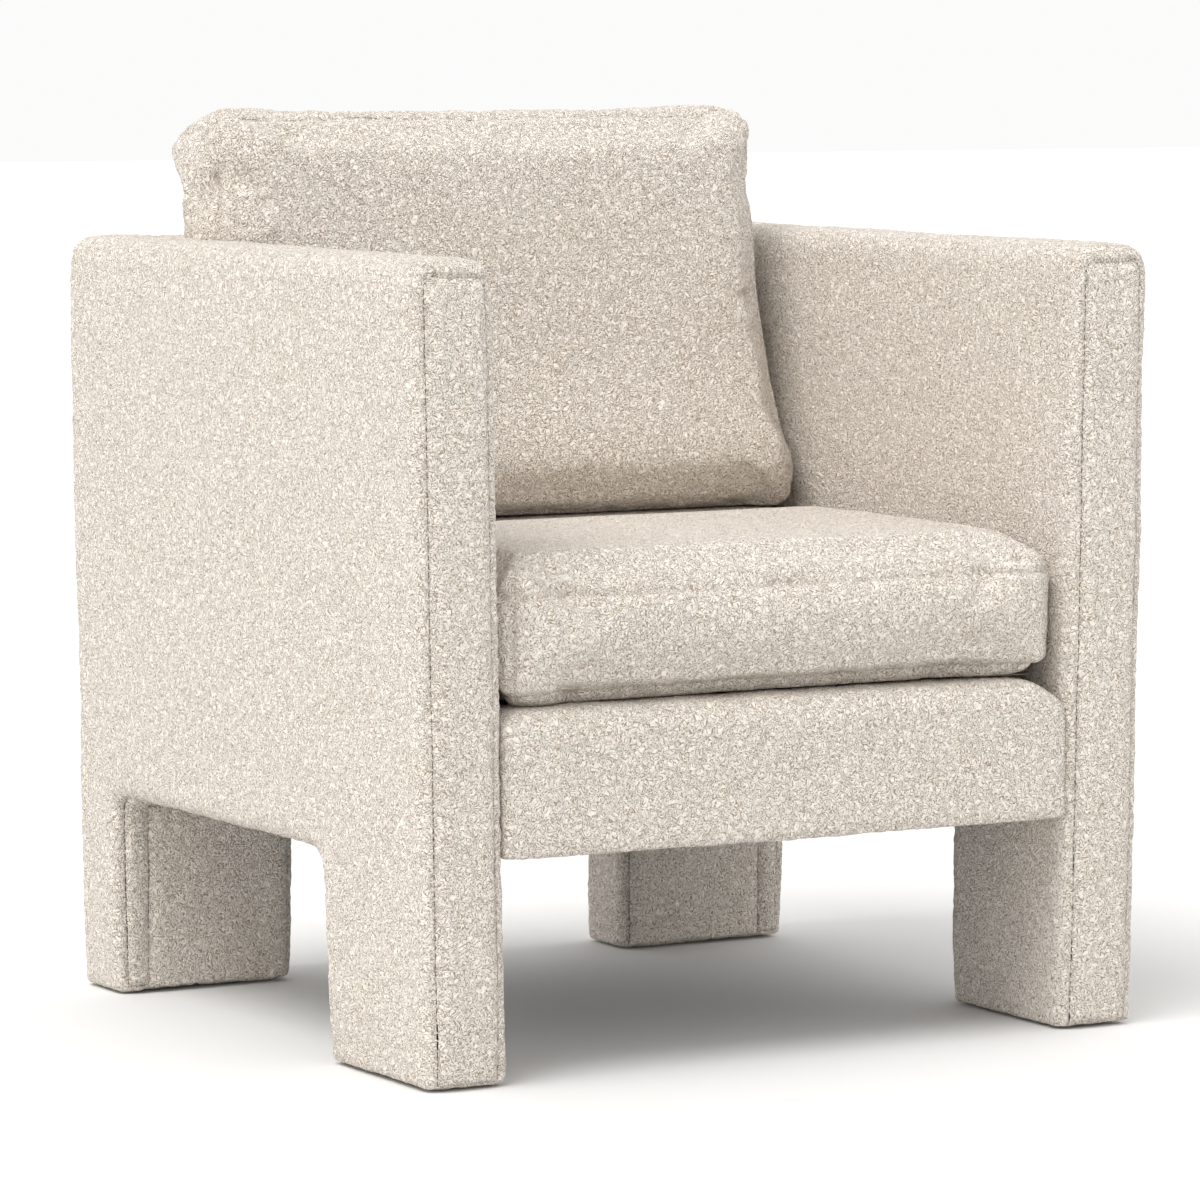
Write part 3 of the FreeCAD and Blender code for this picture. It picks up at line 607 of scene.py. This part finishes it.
RAIL_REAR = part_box("front_rail_cover")[1].y
RAIL_END = arm_x(ARM, 0.5 * (RAIL_FOOT + RAIL_TOP)) + 0.0004
RAIL_OUTLINE = [(FRONT, RAIL_FOOT), (FRONT, RAIL_TOP), (RAIL_REAR, RAIL_TOP), (RAIL_REAR, RAIL_FOOT)]
RAIL_ROUNDS = [(0, 0.008), (1, 0.020), (2, 0.004), (3, 0.004)]
RAIL_RIM = 0.006
RAIL_MESH = 0.0038
RIGHT_DROOP = 0.016
LEFT_DROOP = 0.005
TOP_WAVE = 0.0016
RAIL_NUBS = 0.00028
RAIL_CROWN = 0.0020

rail = plate(RAIL_OUTLINE, RAIL_ROUNDS, 2 * RAIL_END, RAIL_RIM)
bmesh.ops.translate(rail, verts=rail.verts[:], vec=(-RAIL_END, 0, 0))
rail = remeshed(rail, RAIL_MESH, 2)
for v in rail.verts:
    height = ease((v.co.z - RAIL_FOOT) / (RAIL_TOP - RAIL_FOOT) * 1.6 - 0.6)
    right = ease((v.co.x - RAIL_END + 0.050) / 0.050)
    left = ease((-v.co.x - RAIL_END + 0.030) / 0.030)
    v.co.z -= height * (RIGHT_DROOP * right ** 2 + LEFT_DROOP * left ** 2)
    v.co.z -= height * TOP_WAVE * (0.5 + noise.noise(Vector((v.co.x * 14, 0, 3))))
tailor(rail, lambda c, normal: "rail", ["rail"], 0, RAIL_NUBS,
       lambda c, normal: RAIL_CROWN * abs(normal.y) * ease((RAIL_END - abs(c.x)) / 0.05))
rail_fabric = piece("front_rail_fabric", rail, BOUCLE, "chair_frame")
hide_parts("front_rail_cover", "front_rail_foam")


# ---- The seat cushion: a foam block in a loose boucle box, with a flat top and bottom panel sewn to an
# upright border all round. It swells up in the middle, and lies flat on the deck and against the arms.

CUSHION_MESH = 0.0052
SEAT_LOW, SEAT_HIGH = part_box("seat_cushion_cover")
SEAT_TOP_SEAM = SEAT_HIGH.z - 0.031
SEAT_FOOT_SEAM = SEAT_LOW.z + 0.010
SEAT_ROUND = 0.028            # the front corners, seen from above
SWELL_LIMIT = 0.015           # how far the cloth may swell, how hard it is blown up, and how long
PRESSURE = 4.0
MOMENTS = 20


def swollen(bm, size, low, high):
    """Blow a closed block up as cloth, no further than a limit, then let it out to its full size."""
    start = remeshed(bm, size, 1)
    mesh = bpy.data.meshes.new("ticking")
    start.to_mesh(mesh)
    block = bpy.data.objects.new("ticking", mesh)
    bpy.context.collection.objects.link(block)
    cloth = block.modifiers.new("cloth", "CLOTH")
    cloth.settings.quality = 5
    cloth.settings.tension_stiffness = 12
    cloth.settings.compression_stiffness = 12
    cloth.settings.bending_stiffness = 0.4
    cloth.settings.use_pressure = True
    cloth.settings.uniform_pressure_force = PRESSURE
    cloth.settings.effector_weights.gravity = 0
    cloth.point_cache.frame_start = 1
    cloth.point_cache.frame_end = MOMENTS
    for moment in range(1, MOMENTS + 1):
        bpy.context.scene.frame_set(moment)
    blown = block.evaluated_get(bpy.context.evaluated_depsgraph_get()).to_mesh()
    for v, swelled in zip(start.verts, blown.vertices):
        step = swelled.co - v.co
        v.co += step * min(1, SWELL_LIMIT / max(step.length, 1e-9))
    bpy.data.objects.remove(block)
    bpy.context.scene.frame_set(1)
    least = Vector(min(v.co[i] for v in start.verts) for i in range(3))
    most = Vector(max(v.co[i] for v in start.verts) for i in range(3))
    for v in start.verts:
        v.co = Vector(low[i] + (v.co[i] - least[i]) * (high[i] - low[i]) / (most[i] - least[i])
                      for i in range(3))
    bmesh.ops.subdivide_edges(start, edges=start.edges[:], cuts=1, use_grid_fill=True)
    bmesh.ops.smooth_vert(start, verts=start.verts[:], factor=0.5,
                          use_axis_x=True, use_axis_y=True, use_axis_z=True)
    start.normal_update()
    return start


def round_corner(a, b):
    """A point this far past the centre of a corner's arc, moved in to make a square corner round."""
    if a <= 0 or b <= 0:
        return a, b
    share = max(a, b) / math.hypot(a, b)
    return a * share, b * share


def soft_limit(value, limit, give):
    """Values near and over a limit, pressed back under it."""
    over = value - limit + give
    return value if over < 0 else limit - give * math.exp(-over / give)


SEAT_CLEAR = 0.0010           # from the cushion to each arm
SEAT_PRESSED = 0.010          # how far the back cushion presses the seat cushion down
SEAT_CROWN = 0.006            # how far its middle stands up over its nominal height


def in_seat(co):
    """Where the deck, the arms, the back and the back cushion let a point of the seat cushion be."""
    side_limit = arm_x(ARM, co.z) - SEAT_CLEAR
    x = math.copysign(soft_limit(abs(co.x), side_limit, 0.0015), co.x)
    y = min(co.y, SEAT_HIGH.y - 0.0002)
    z = SEAT_LOW.z - soft_limit(SEAT_LOW.z - co.z, 0, 0.0008)
    pressed = SEAT_HIGH.z + SEAT_CROWN - SEAT_PRESSED * ease((y + 0.02) / 0.10)
    return Vector((x, max(y, FRONT - 0.004), soft_limit(z, pressed, 0.003)))


def seat_patch(c, normal):
    """The panel of the seat cushion's cover that a face belongs to."""
    if c.z > SEAT_TOP_SEAM:
        return "top"
    return "border" if c.z > SEAT_FOOT_SEAM else "bottom"


seat = bmesh.new()
bmesh.ops.create_cube(seat, size=1)
CORNER_DROP = 0.010           # the right front corner has sunk a little
CUSHION_NUBS = 0.00026
SEAT_GROOVE = 0.0022
block_low = SEAT_LOW + Vector((0.002, 0.002, 0))
block_high = SEAT_HIGH - Vector((0.002, 0.004, 0.024))
bmesh.ops.transform(seat, verts=seat.verts[:], matrix=Matrix.Translation((block_low + block_high) / 2)
                    @ Matrix.Diagonal((*(block_high - block_low), 1)))
upright = [e for e in seat.edges if abs(e.verts[0].co.z - e.verts[1].co.z) > 0.05]
bmesh.ops.bevel(seat, geom=upright, offset=0.014, segments=5, profile=0.5, affect="EDGES",
                material=-1)
upper = [e for e in seat.edges if min(v.co.z for v in e.verts) > block_high.z - 0.001]
bmesh.ops.bevel(seat, geom=upper, offset=0.010, segments=4, profile=0.5, affect="EDGES",
                material=-1)
seat = swollen(seat, CUSHION_MESH, SEAT_LOW - Vector((0.004, 0.004, 0.004)),
               SEAT_HIGH + Vector((0.004, 0.002, SEAT_CROWN)))
side_centre, front_centre = SEAT_HIGH.x - SEAT_ROUND, SEAT_LOW.y + SEAT_ROUND
for v in seat.verts:
    corner = ease((v.co.x - 0.16) / 0.12) * ease((-v.co.y - 0.20) / 0.13)
    v.co.z -= CORNER_DROP * corner * ease((v.co.z - 0.40) / 0.03)
    across, along = round_corner(abs(v.co.x) - side_centre, front_centre - v.co.y)
    v.co.x = math.copysign(side_centre + across, v.co.x)
    v.co.y = front_centre - along
    v.co = in_seat(v.co)
for height in (SEAT_TOP_SEAM, SEAT_FOOT_SEAM):
    cut(seat, (0, 0, height), (0, 0, 1), lambda c: abs(c.z - height) < 0.01)
tailor(seat, seat_patch, ["top", "border", "bottom"], SEAT_GROOVE, CUSHION_NUBS,
       lambda c, normal: 0)
for v in seat.verts:
    v.co = in_seat(v.co)
stitches("seat_cushion_stitches", seat, "seat_cushion")
seat_piece = piece("seat_cushion", seat, BOUCLE, "seat_cushion")
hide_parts("seat_cushion_cover", "seat_cushion_foam")


# ---- The back cushion: a fibre-filled boucle box, softer than the seat. It stands on the seat cushion,
# leans on the top edge of the back, spreads over the arms above them and sags forward at its foot.

LEAN_BACK = math.radians(11)
BACK_LOW, BACK_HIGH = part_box("back_cushion_cover")
BACK_DEEP = 0.114
BACK_TALL = 0.358
BACK_ROUND = 0.024
BACK_GROOVE = 0.0017
upward = Vector((0, math.sin(LEAN_BACK), math.cos(LEAN_BACK)))
forward = Vector((0, -math.cos(LEAN_BACK), math.sin(LEAN_BACK)))
rear_top = BACK_HIGH.y + BACK_ROUND * (math.sin(LEAN_BACK) + math.cos(LEAN_BACK) - 1)
rear_foot = Vector((0, rear_top - math.sin(LEAN_BACK) * BACK_TALL, BACK_LOW.z))
# The cushion's own axes: Y through it from its rear face forward, and Z up along that face.
LEANING = Matrix(((-1, 0, 0, 0), (0, forward.y, upward.y, rear_foot.y),
                  (0, forward.z, upward.z, rear_foot.z), (0, 0, 0, 1)))
UPRIGHT = LEANING.inverted()
BACK_FOOT = BACK_LOW.z - 0.0090    # sunk a little into the seat cushion
BACK_SEAMS = (0.020, BACK_DEEP - 0.022)
# The block before it swells, its swelled size, and the rounds of its corners seen from the front.
BACK_BLOCK = (0.570, 0.104, 0.372, 1)
BACK_MIDDLE = (0, 0.056, 0.168)
BACK_HALF = 0.2865
BACK_LOWEST, BACK_HIGHEST = -0.031, 0.362
BACK_REARMOST, BACK_FOREMOST = -0.012, 0.129
FOOT_ROUND = 0.048
TOP_ROUND = 0.038
SAG = 0.014                   # how far the filling bulges forward over the foot
SHIFT = 0.010                 # the whole cushion has moved a little to the left
SPREAD = 0.018                # how far it spreads over the left arm


def in_back(co):
    """Where the seat cushion, the arms and the back let a point of the back cushion be."""
    over = co.z - (TOP - RIM)
    if over < RIM:
        roll = RIM - math.sqrt(max(0, RIM ** 2 - max(over, 0) ** 2))
        limit = arm_x(ARM, co.z) + roll - 0.0012
        co = Vector((math.copysign(soft_limit(abs(co.x), limit, 0.003), co.x), co.y, co.z))
    local = UPRIGHT @ co
    local.y = -soft_limit(-local.y, 0, 0.003)
    co = LEANING @ local
    co.z = BACK_FOOT - soft_limit(BACK_FOOT - co.z, 0, 0.0015)
    return co


def settled(local):
    """The filling slides down and forward over the foot, and the cushion spreads over the left arm."""
    side, level = BACK_HALF - FOOT_ROUND, BACK_LOWEST + 0.006 + FOOT_ROUND
    across, down = round_corner(abs(local.x) - side, level - local.z)
    x, z = side + across, level - down
    side, level = BACK_HALF - TOP_ROUND, BACK_HIGHEST - TOP_ROUND
    across, up = round_corner(x - side, z - level)
    x, z = math.copysign(side + across, local.x), level + up
    to_front = ease(local.y / BACK_DEEP)
    sag = to_front * math.exp(-((z - 0.025) / 0.060) ** 2) * ease((0.30 - abs(x)) / 0.06)
    level_foot = math.tan(LEAN_BACK) * (local.y - BACK_DEEP / 2) * ease((0.12 - z) / 0.12)
    over_arm = ease((z - 0.205) / 0.035)
    x += SHIFT * ease(z / 0.20)
    x += SPREAD * over_arm * ease(local.x / 0.28)
    return LEANING @ Vector((x, local.y + SAG * sag, z - level_foot))


def back_patch(c, normal):
    """The panel of the back cushion's cover that a face belongs to."""
    deep = (UPRIGHT @ c).y
    if deep > BACK_SEAMS[1]:
        return "front"
    return "border" if deep > BACK_SEAMS[0] else "rear"


back_block = bmesh.new()
bmesh.ops.create_cube(back_block, size=1,
                      matrix=Matrix.Translation(BACK_MIDDLE) @ Matrix.Diagonal(BACK_BLOCK))
bmesh.ops.bevel(back_block, geom=back_block.edges[:], offset=0.014, segments=4, profile=0.5,
                affect="EDGES", material=-1)
back_cushion = swollen(back_block, CUSHION_MESH, (-BACK_HALF, BACK_REARMOST, BACK_LOWEST),
                       (BACK_HALF, BACK_FOREMOST, BACK_HIGHEST))
for v in back_cushion.verts:
    v.co = in_back(settled(v.co))
for deep in BACK_SEAMS:
    cut(back_cushion, LEANING @ Vector((0, deep, 0)), forward,
        lambda c: abs((UPRIGHT @ c).y - deep) < 0.01)
tailor(back_cushion, back_patch, ["front", "border", "rear"], BACK_GROOVE, CUSHION_NUBS,
       lambda c, normal: 0)
for v in back_cushion.verts:
    v.co = in_back(v.co)
stitches("back_cushion_stitches", back_cushion, "back_cushion")
back_piece = piece("back_cushion", back_cushion, BOUCLE, "back_cushion")
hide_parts("back_cushion_cover", "back_cushion_filling")


# ---- The deck that the seat cushion lies on: needled felt over the springs, and a plain hard-wearing
# twill stretched over it and stapled to the rails. It is only seen when the cushion is out.

def stretched_cloth(name, node, sag, material):
    """A sheet of cloth drawn tight between its edges, a little lower in the middle."""
    low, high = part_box(node)
    cloth = bmesh.new()
    bmesh.ops.create_grid(cloth, x_segments=72, y_segments=72, size=0.5)
    centre, span = (low + high) / 2, high - low
    bmesh.ops.transform(cloth, verts=cloth.verts[:],
                        matrix=Matrix.Translation((centre.x, centre.y, high.z))
                        @ Matrix.Diagonal((span.x, span.y, 1, 1)))
    for v in cloth.verts:
        across = max(0, 1 - (2 * (v.co.x - centre.x) / span.x) ** 2)
        along = max(0, 1 - (2 * (v.co.y - centre.y) / span.y) ** 2)
        v.co.z += 0.0012 * across * along * noise.noise(v.co * 22) - sag * (across * along) ** 0.6
    made = piece(name, cloth, material, "chair_frame")
    layer = made.modifiers.new("cloth", "SOLIDIFY")
    layer.thickness = span.z * 0.7
    layer.offset = -1
    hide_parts(node)


def woven(name, first, second, pitch, roughness, depth):
    """Cloth of crossing threads: each of the two colours shows where its thread is on top."""
    cloth = Finish(name, roughness, Specular_IOR_Level=0.2)
    parts = cloth.node("SeparateXYZ", None, {"Vector": cloth.place})
    across = Value(cloth, parts.socket.node.outputs["X"])
    along = Value(cloth, parts.socket.node.outputs["Y"])
    turn = 2 * math.pi / pitch
    twill = cloth.maths("SINE", (across + along) * turn + cloth.mottle(260) * 2.0)
    ribs = cloth.maths("SINE", (across - along) * turn * 2)
    top = cloth.between(twill, -0.5, 0.5)
    shade = cloth.between(cloth.mottle(14), 0.3, 0.7)
    cloth.put("Base Color", cloth.mix(top * 0.8 + shade * 0.2, first, second))
    cloth.put("Normal", cloth.bump(top + ribs * 0.25 + cloth.mottle(1800) * 0.3, depth))
    return cloth.material


DECK_TWILL = woven("deck_twill", (0.46, 0.41, 0.34, 1), (0.66, 0.61, 0.53, 1),
                   0.0022, 0.85, 0.0006)
stretched_cloth("deck_twill", "deck_cloth", 0.0006, DECK_TWILL)

felt_low, felt_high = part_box("deck_pad")
felt = plate([(felt_low.y, felt_low.z), (felt_low.y, felt_high.z), (felt_high.y, felt_high.z),
              (felt_high.y, felt_low.z)], [(1, 0.006), (2, 0.006)], felt_high.x - felt_low.x, 0.003)
bmesh.ops.translate(felt, verts=felt.verts[:], vec=(felt_low.x, 0, 0))
felt = remeshed(felt, 0.008, 1)
for v in felt.verts:
    v.co.z += min(0, noise.noise(v.co * 30) * 0.0012 - 0.0010)
felt_finish = Finish("needled_felt", 0.95, Sheen_Weight=0.3)
fleck = felt_finish.mottle(420, 3.0, 0.7)
felt_finish.put("Base Color", felt_finish.mix(
    felt_finish.between(fleck, 0.35, 0.65), (0.30, 0.29, 0.27, 1), (0.62, 0.59, 0.54, 1)))
felt_finish.put("Normal", felt_finish.bump(fleck, 0.0012))
felt_piece = piece("deck_felt", felt, felt_finish.material, "chair_frame")
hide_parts("deck_pad")


# ---- The dust cover: black non-woven cambric under the seat, stapled to the rails every
# few centimetres by hand, so that no two staples stand quite alike.

cambric = Finish("cambric", 0.9, Specular_IOR_Level=0.1)
fibres = cambric.mottle(900, 3.0, 0.7, distortion=1.5)
dimples = cambric.node("TexVoronoi", None, {
    "Vector": cambric.place, "Scale": 700.0, "Randomness": 0.2}, "Distance")
cambric.put("Base Color", cambric.mix(
    cambric.between(fibres, 0.35, 0.7) * 0.7 + cambric.mottle(11) * 0.3,
    (0.012, 0.012, 0.013, 1), (0.060, 0.058, 0.056, 1)))
cambric.put("Normal", cambric.bump(fibres * 0.6 + dimples * 0.4, 0.0004))
stretched_cloth("dust_cambric", "dust_cover", 0.004, cambric.material)

STAPLE_STEP = 0.055
STAPLE = (0.0100, 0.0011, 0.0007, 1)
STAPLE_MARGIN = 0.007         # from the cover's edge
STAPLE_SKEW = 0.25
dust_low, dust_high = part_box("dust_cover")


def one_staple(lot, place):
    made = bmesh.ops.create_cube(lot, size=1, matrix=place @ Matrix.Diagonal(STAPLE))
    edges = list({e for v in made["verts"] for e in v.link_edges})
    bmesh.ops.bevel(lot, geom=edges, offset=0.0002, segments=1, profile=0.5, affect="EDGES",
                    material=-1)


def staple_place(x, y, turn):
    skew = random.uniform(-STAPLE_SKEW, STAPLE_SKEW)
    return Matrix.Translation((x, y, dust_low.z - 0.0001)) @ Matrix.Rotation(turn + skew, 4, "Z")


places = []
for y in (dust_low.y + STAPLE_MARGIN, dust_high.y - STAPLE_MARGIN):
    for number in range(10):
        places.append(staple_place((number - 4.5) * STAPLE_STEP, y, 0))
for x in (dust_low.x + STAPLE_MARGIN, dust_high.x - STAPLE_MARGIN):
    for number in range(9):
        y = (dust_low.y + dust_high.y) / 2 + (number - 4) * STAPLE_STEP
        places.append(staple_place(x, y, math.pi / 2))
zinc = Finish("zinc", 0.38, Metallic=1.0)
spangle = zinc.node("TexVoronoi", None, {"Vector": zinc.place, "Scale": 650.0}, "Color")
zinc.put("Base Color", zinc.mix(zinc.between(zinc.mottle(500, 3.0), 0.4, 0.7),
                                (0.60, 0.60, 0.58, 1), (0.42, 0.42, 0.40, 1)))
zinc.put("Roughness", 0.30 + zinc.mottle(900) * 0.25)
zinc.put("Normal", zinc.bump(spangle, 0.00004))
piece("dust_cover_staples", repeated(one_staple, places), zinc.material, "chair_frame")


# ---- What the fabric hides, in its own shapes: beech and plywood frame pieces, hardboard facings, jute
# webbing, sinuous springs in their clips with tie wires, bolts, screws, and the zips of the cushions.

def grained(name, axis, light, dark, fine):
    """Sawn wood whose grain runs along one axis."""
    wood = Finish(name, 0.62, Specular_IOR_Level=0.3)
    squeeze = [70.0, 70.0, 70.0]
    squeeze[axis] = 3.0
    stretched = wood.node("VectorMath", {"operation": "MULTIPLY"}, {0: wood.place, 1: squeeze})
    rings = wood.mottle(1.0, 3.0, 0.55, stretched, 0.6)
    pores = wood.mottle(fine, 2.0, 0.6, stretched)
    figure = wood.between(rings * 0.75 + pores * 0.25, 0.36, 0.64)
    wood.put("Base Color", wood.mix(figure, light, dark))
    wood.put("Roughness", 0.55 + pores * 0.2)
    wood.put("Normal", wood.bump(pores * 0.6 + rings * 0.4, 0.0003))
    return wood.material


BEECH = [grained("beech_" + "xyz"[axis], axis, (0.62, 0.42, 0.25, 1), (0.42, 0.25, 0.13, 1), 9.0)
         for axis in range(3)]

board_finish = Finish("hardboard", 0.7)
chips = board_finish.mottle(900, 3.0, 0.7, distortion=0.8)
board_finish.put("Base Color", board_finish.mix(board_finish.between(chips, 0.3, 0.7) * 0.8
                                                + board_finish.mottle(30) * 0.2,
                                                (0.20, 0.115, 0.055, 1), (0.36, 0.22, 0.12, 1)))
board_finish.put("Normal", board_finish.bump(chips, 0.0003))

wire = Finish("spring_wire", 0.35, Metallic=1.0)
wire.put("Base Color", wire.mix(wire.between(wire.mottle(160, 3.0), 0.40, 0.72),
                                (0.16, 0.15, 0.15, 1), (0.30, 0.20, 0.13, 1)))
wire.put("Roughness", 0.28 + wire.mottle(300) * 0.3)
wire.put("Normal", wire.bump(wire.mottle(2200), 0.00005))

nylon = Finish("glide_nylon", 0.45, Specular_IOR_Level=0.4)
nylon.put("Base Color", nylon.mix(nylon.mottle(120, 3.0),
                                  (0.045, 0.042, 0.040, 1), (0.085, 0.080, 0.075, 1)))
scuffs = nylon.mottle(700, 3.0, 0.7)
nylon.put("Roughness", 0.40 + scuffs * 0.3)
nylon.put("Normal", nylon.bump(scuffs, 0.0001))

webbing = woven("jute_webbing", (0.36, 0.26, 0.15, 1), (0.60, 0.48, 0.31, 1), 0.0040, 0.9, 0.0010)

cast = Finish("zip_metal", 0.32, Metallic=1.0)
cast.put("Base Color", cast.mix(cast.between(cast.mottle(260, 3.0), 0.35, 0.7),
                                (0.62, 0.58, 0.50, 1), (0.42, 0.38, 0.31, 1)))
cast.put("Roughness", 0.25 + cast.mottle(900, 3.0) * 0.3)
cast.put("Normal", cast.bump(cast.mottle(1500), 0.00006))


def zip_finish(name, centre, across):
    """Woven tape with a coil of teeth down its middle line."""
    tape = Finish(name, 0.75, Specular_IOR_Level=0.25)
    off = tape.node("VectorMath", {"operation": "SUBTRACT"}, {0: tape.place, 1: centre})
    line = tape.node("VectorMath", {"operation": "DOT_PRODUCT"}, {0: off, 1: across}, "Value")
    away = tape.maths("ABSOLUTE", line)
    x = tape.node("SeparateXYZ", None, {"Vector": tape.place})
    coil = 1 - tape.between(away, 0.0022, 0.0027)
    teeth = tape.maths("SINE", x * (2 * math.pi / 0.0018))
    weave = tape.maths("SINE", x * (2 * math.pi / 0.0009)) * 0.5 + tape.mottle(1500) * 0.5
    cloth = tape.mix(tape.between(weave, 0.1, 0.5), (0.48, 0.42, 0.34, 1), (0.66, 0.60, 0.51, 1))
    # The light stripes are the nylon teeth; the dark stripes between them are painted shade between the
    # turns of the coil.
    teeth_shaded_between = tape.mix(tape.between(teeth, -0.3, 0.3),
                           (0.22, 0.19, 0.15, 1), (0.74, 0.68, 0.58, 1))
    tape.put("Base Color", tape.mix(coil, cloth, teeth_shaded_between))
    tape.put("Roughness", 0.8 - coil * 0.35)
    tape.put("Normal", tape.bump(coil * teeth + weave * 0.3, 0.0005))
    return tape.material


def middle_of(node):
    low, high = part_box(node)
    return (low + high) / 2


ZIPS = {"seat_cushion_zip": (0, 0, 1), "back_cushion_zip": tuple(upward)}
for node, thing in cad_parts.items():
    if thing.hide_render:
        continue
    low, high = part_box(node)
    spans = list(high - low)
    if node in ZIPS:
        material = zip_finish(node + "_tape", tuple(middle_of(node)), ZIPS[node])
    elif node in ("seat_zip_slider", "back_zip_slider"):
        material = cast.material
    elif node in ("seat_springs", "tie_wires"):
        material = wire.material
    elif node in ("seat_bolts", "rail_screws", "spring_clips"):
        material = zinc.material
    elif node == "glides":
        material = nylon.material
    elif node == "back_webbing":
        material = webbing
    elif node.endswith("board"):
        material = board_finish.material
    else:
        material = BEECH[0 if node == "corner_blocks" else spans.index(max(spans))]
    for slot in thing.material_slots:
        slot.material = material
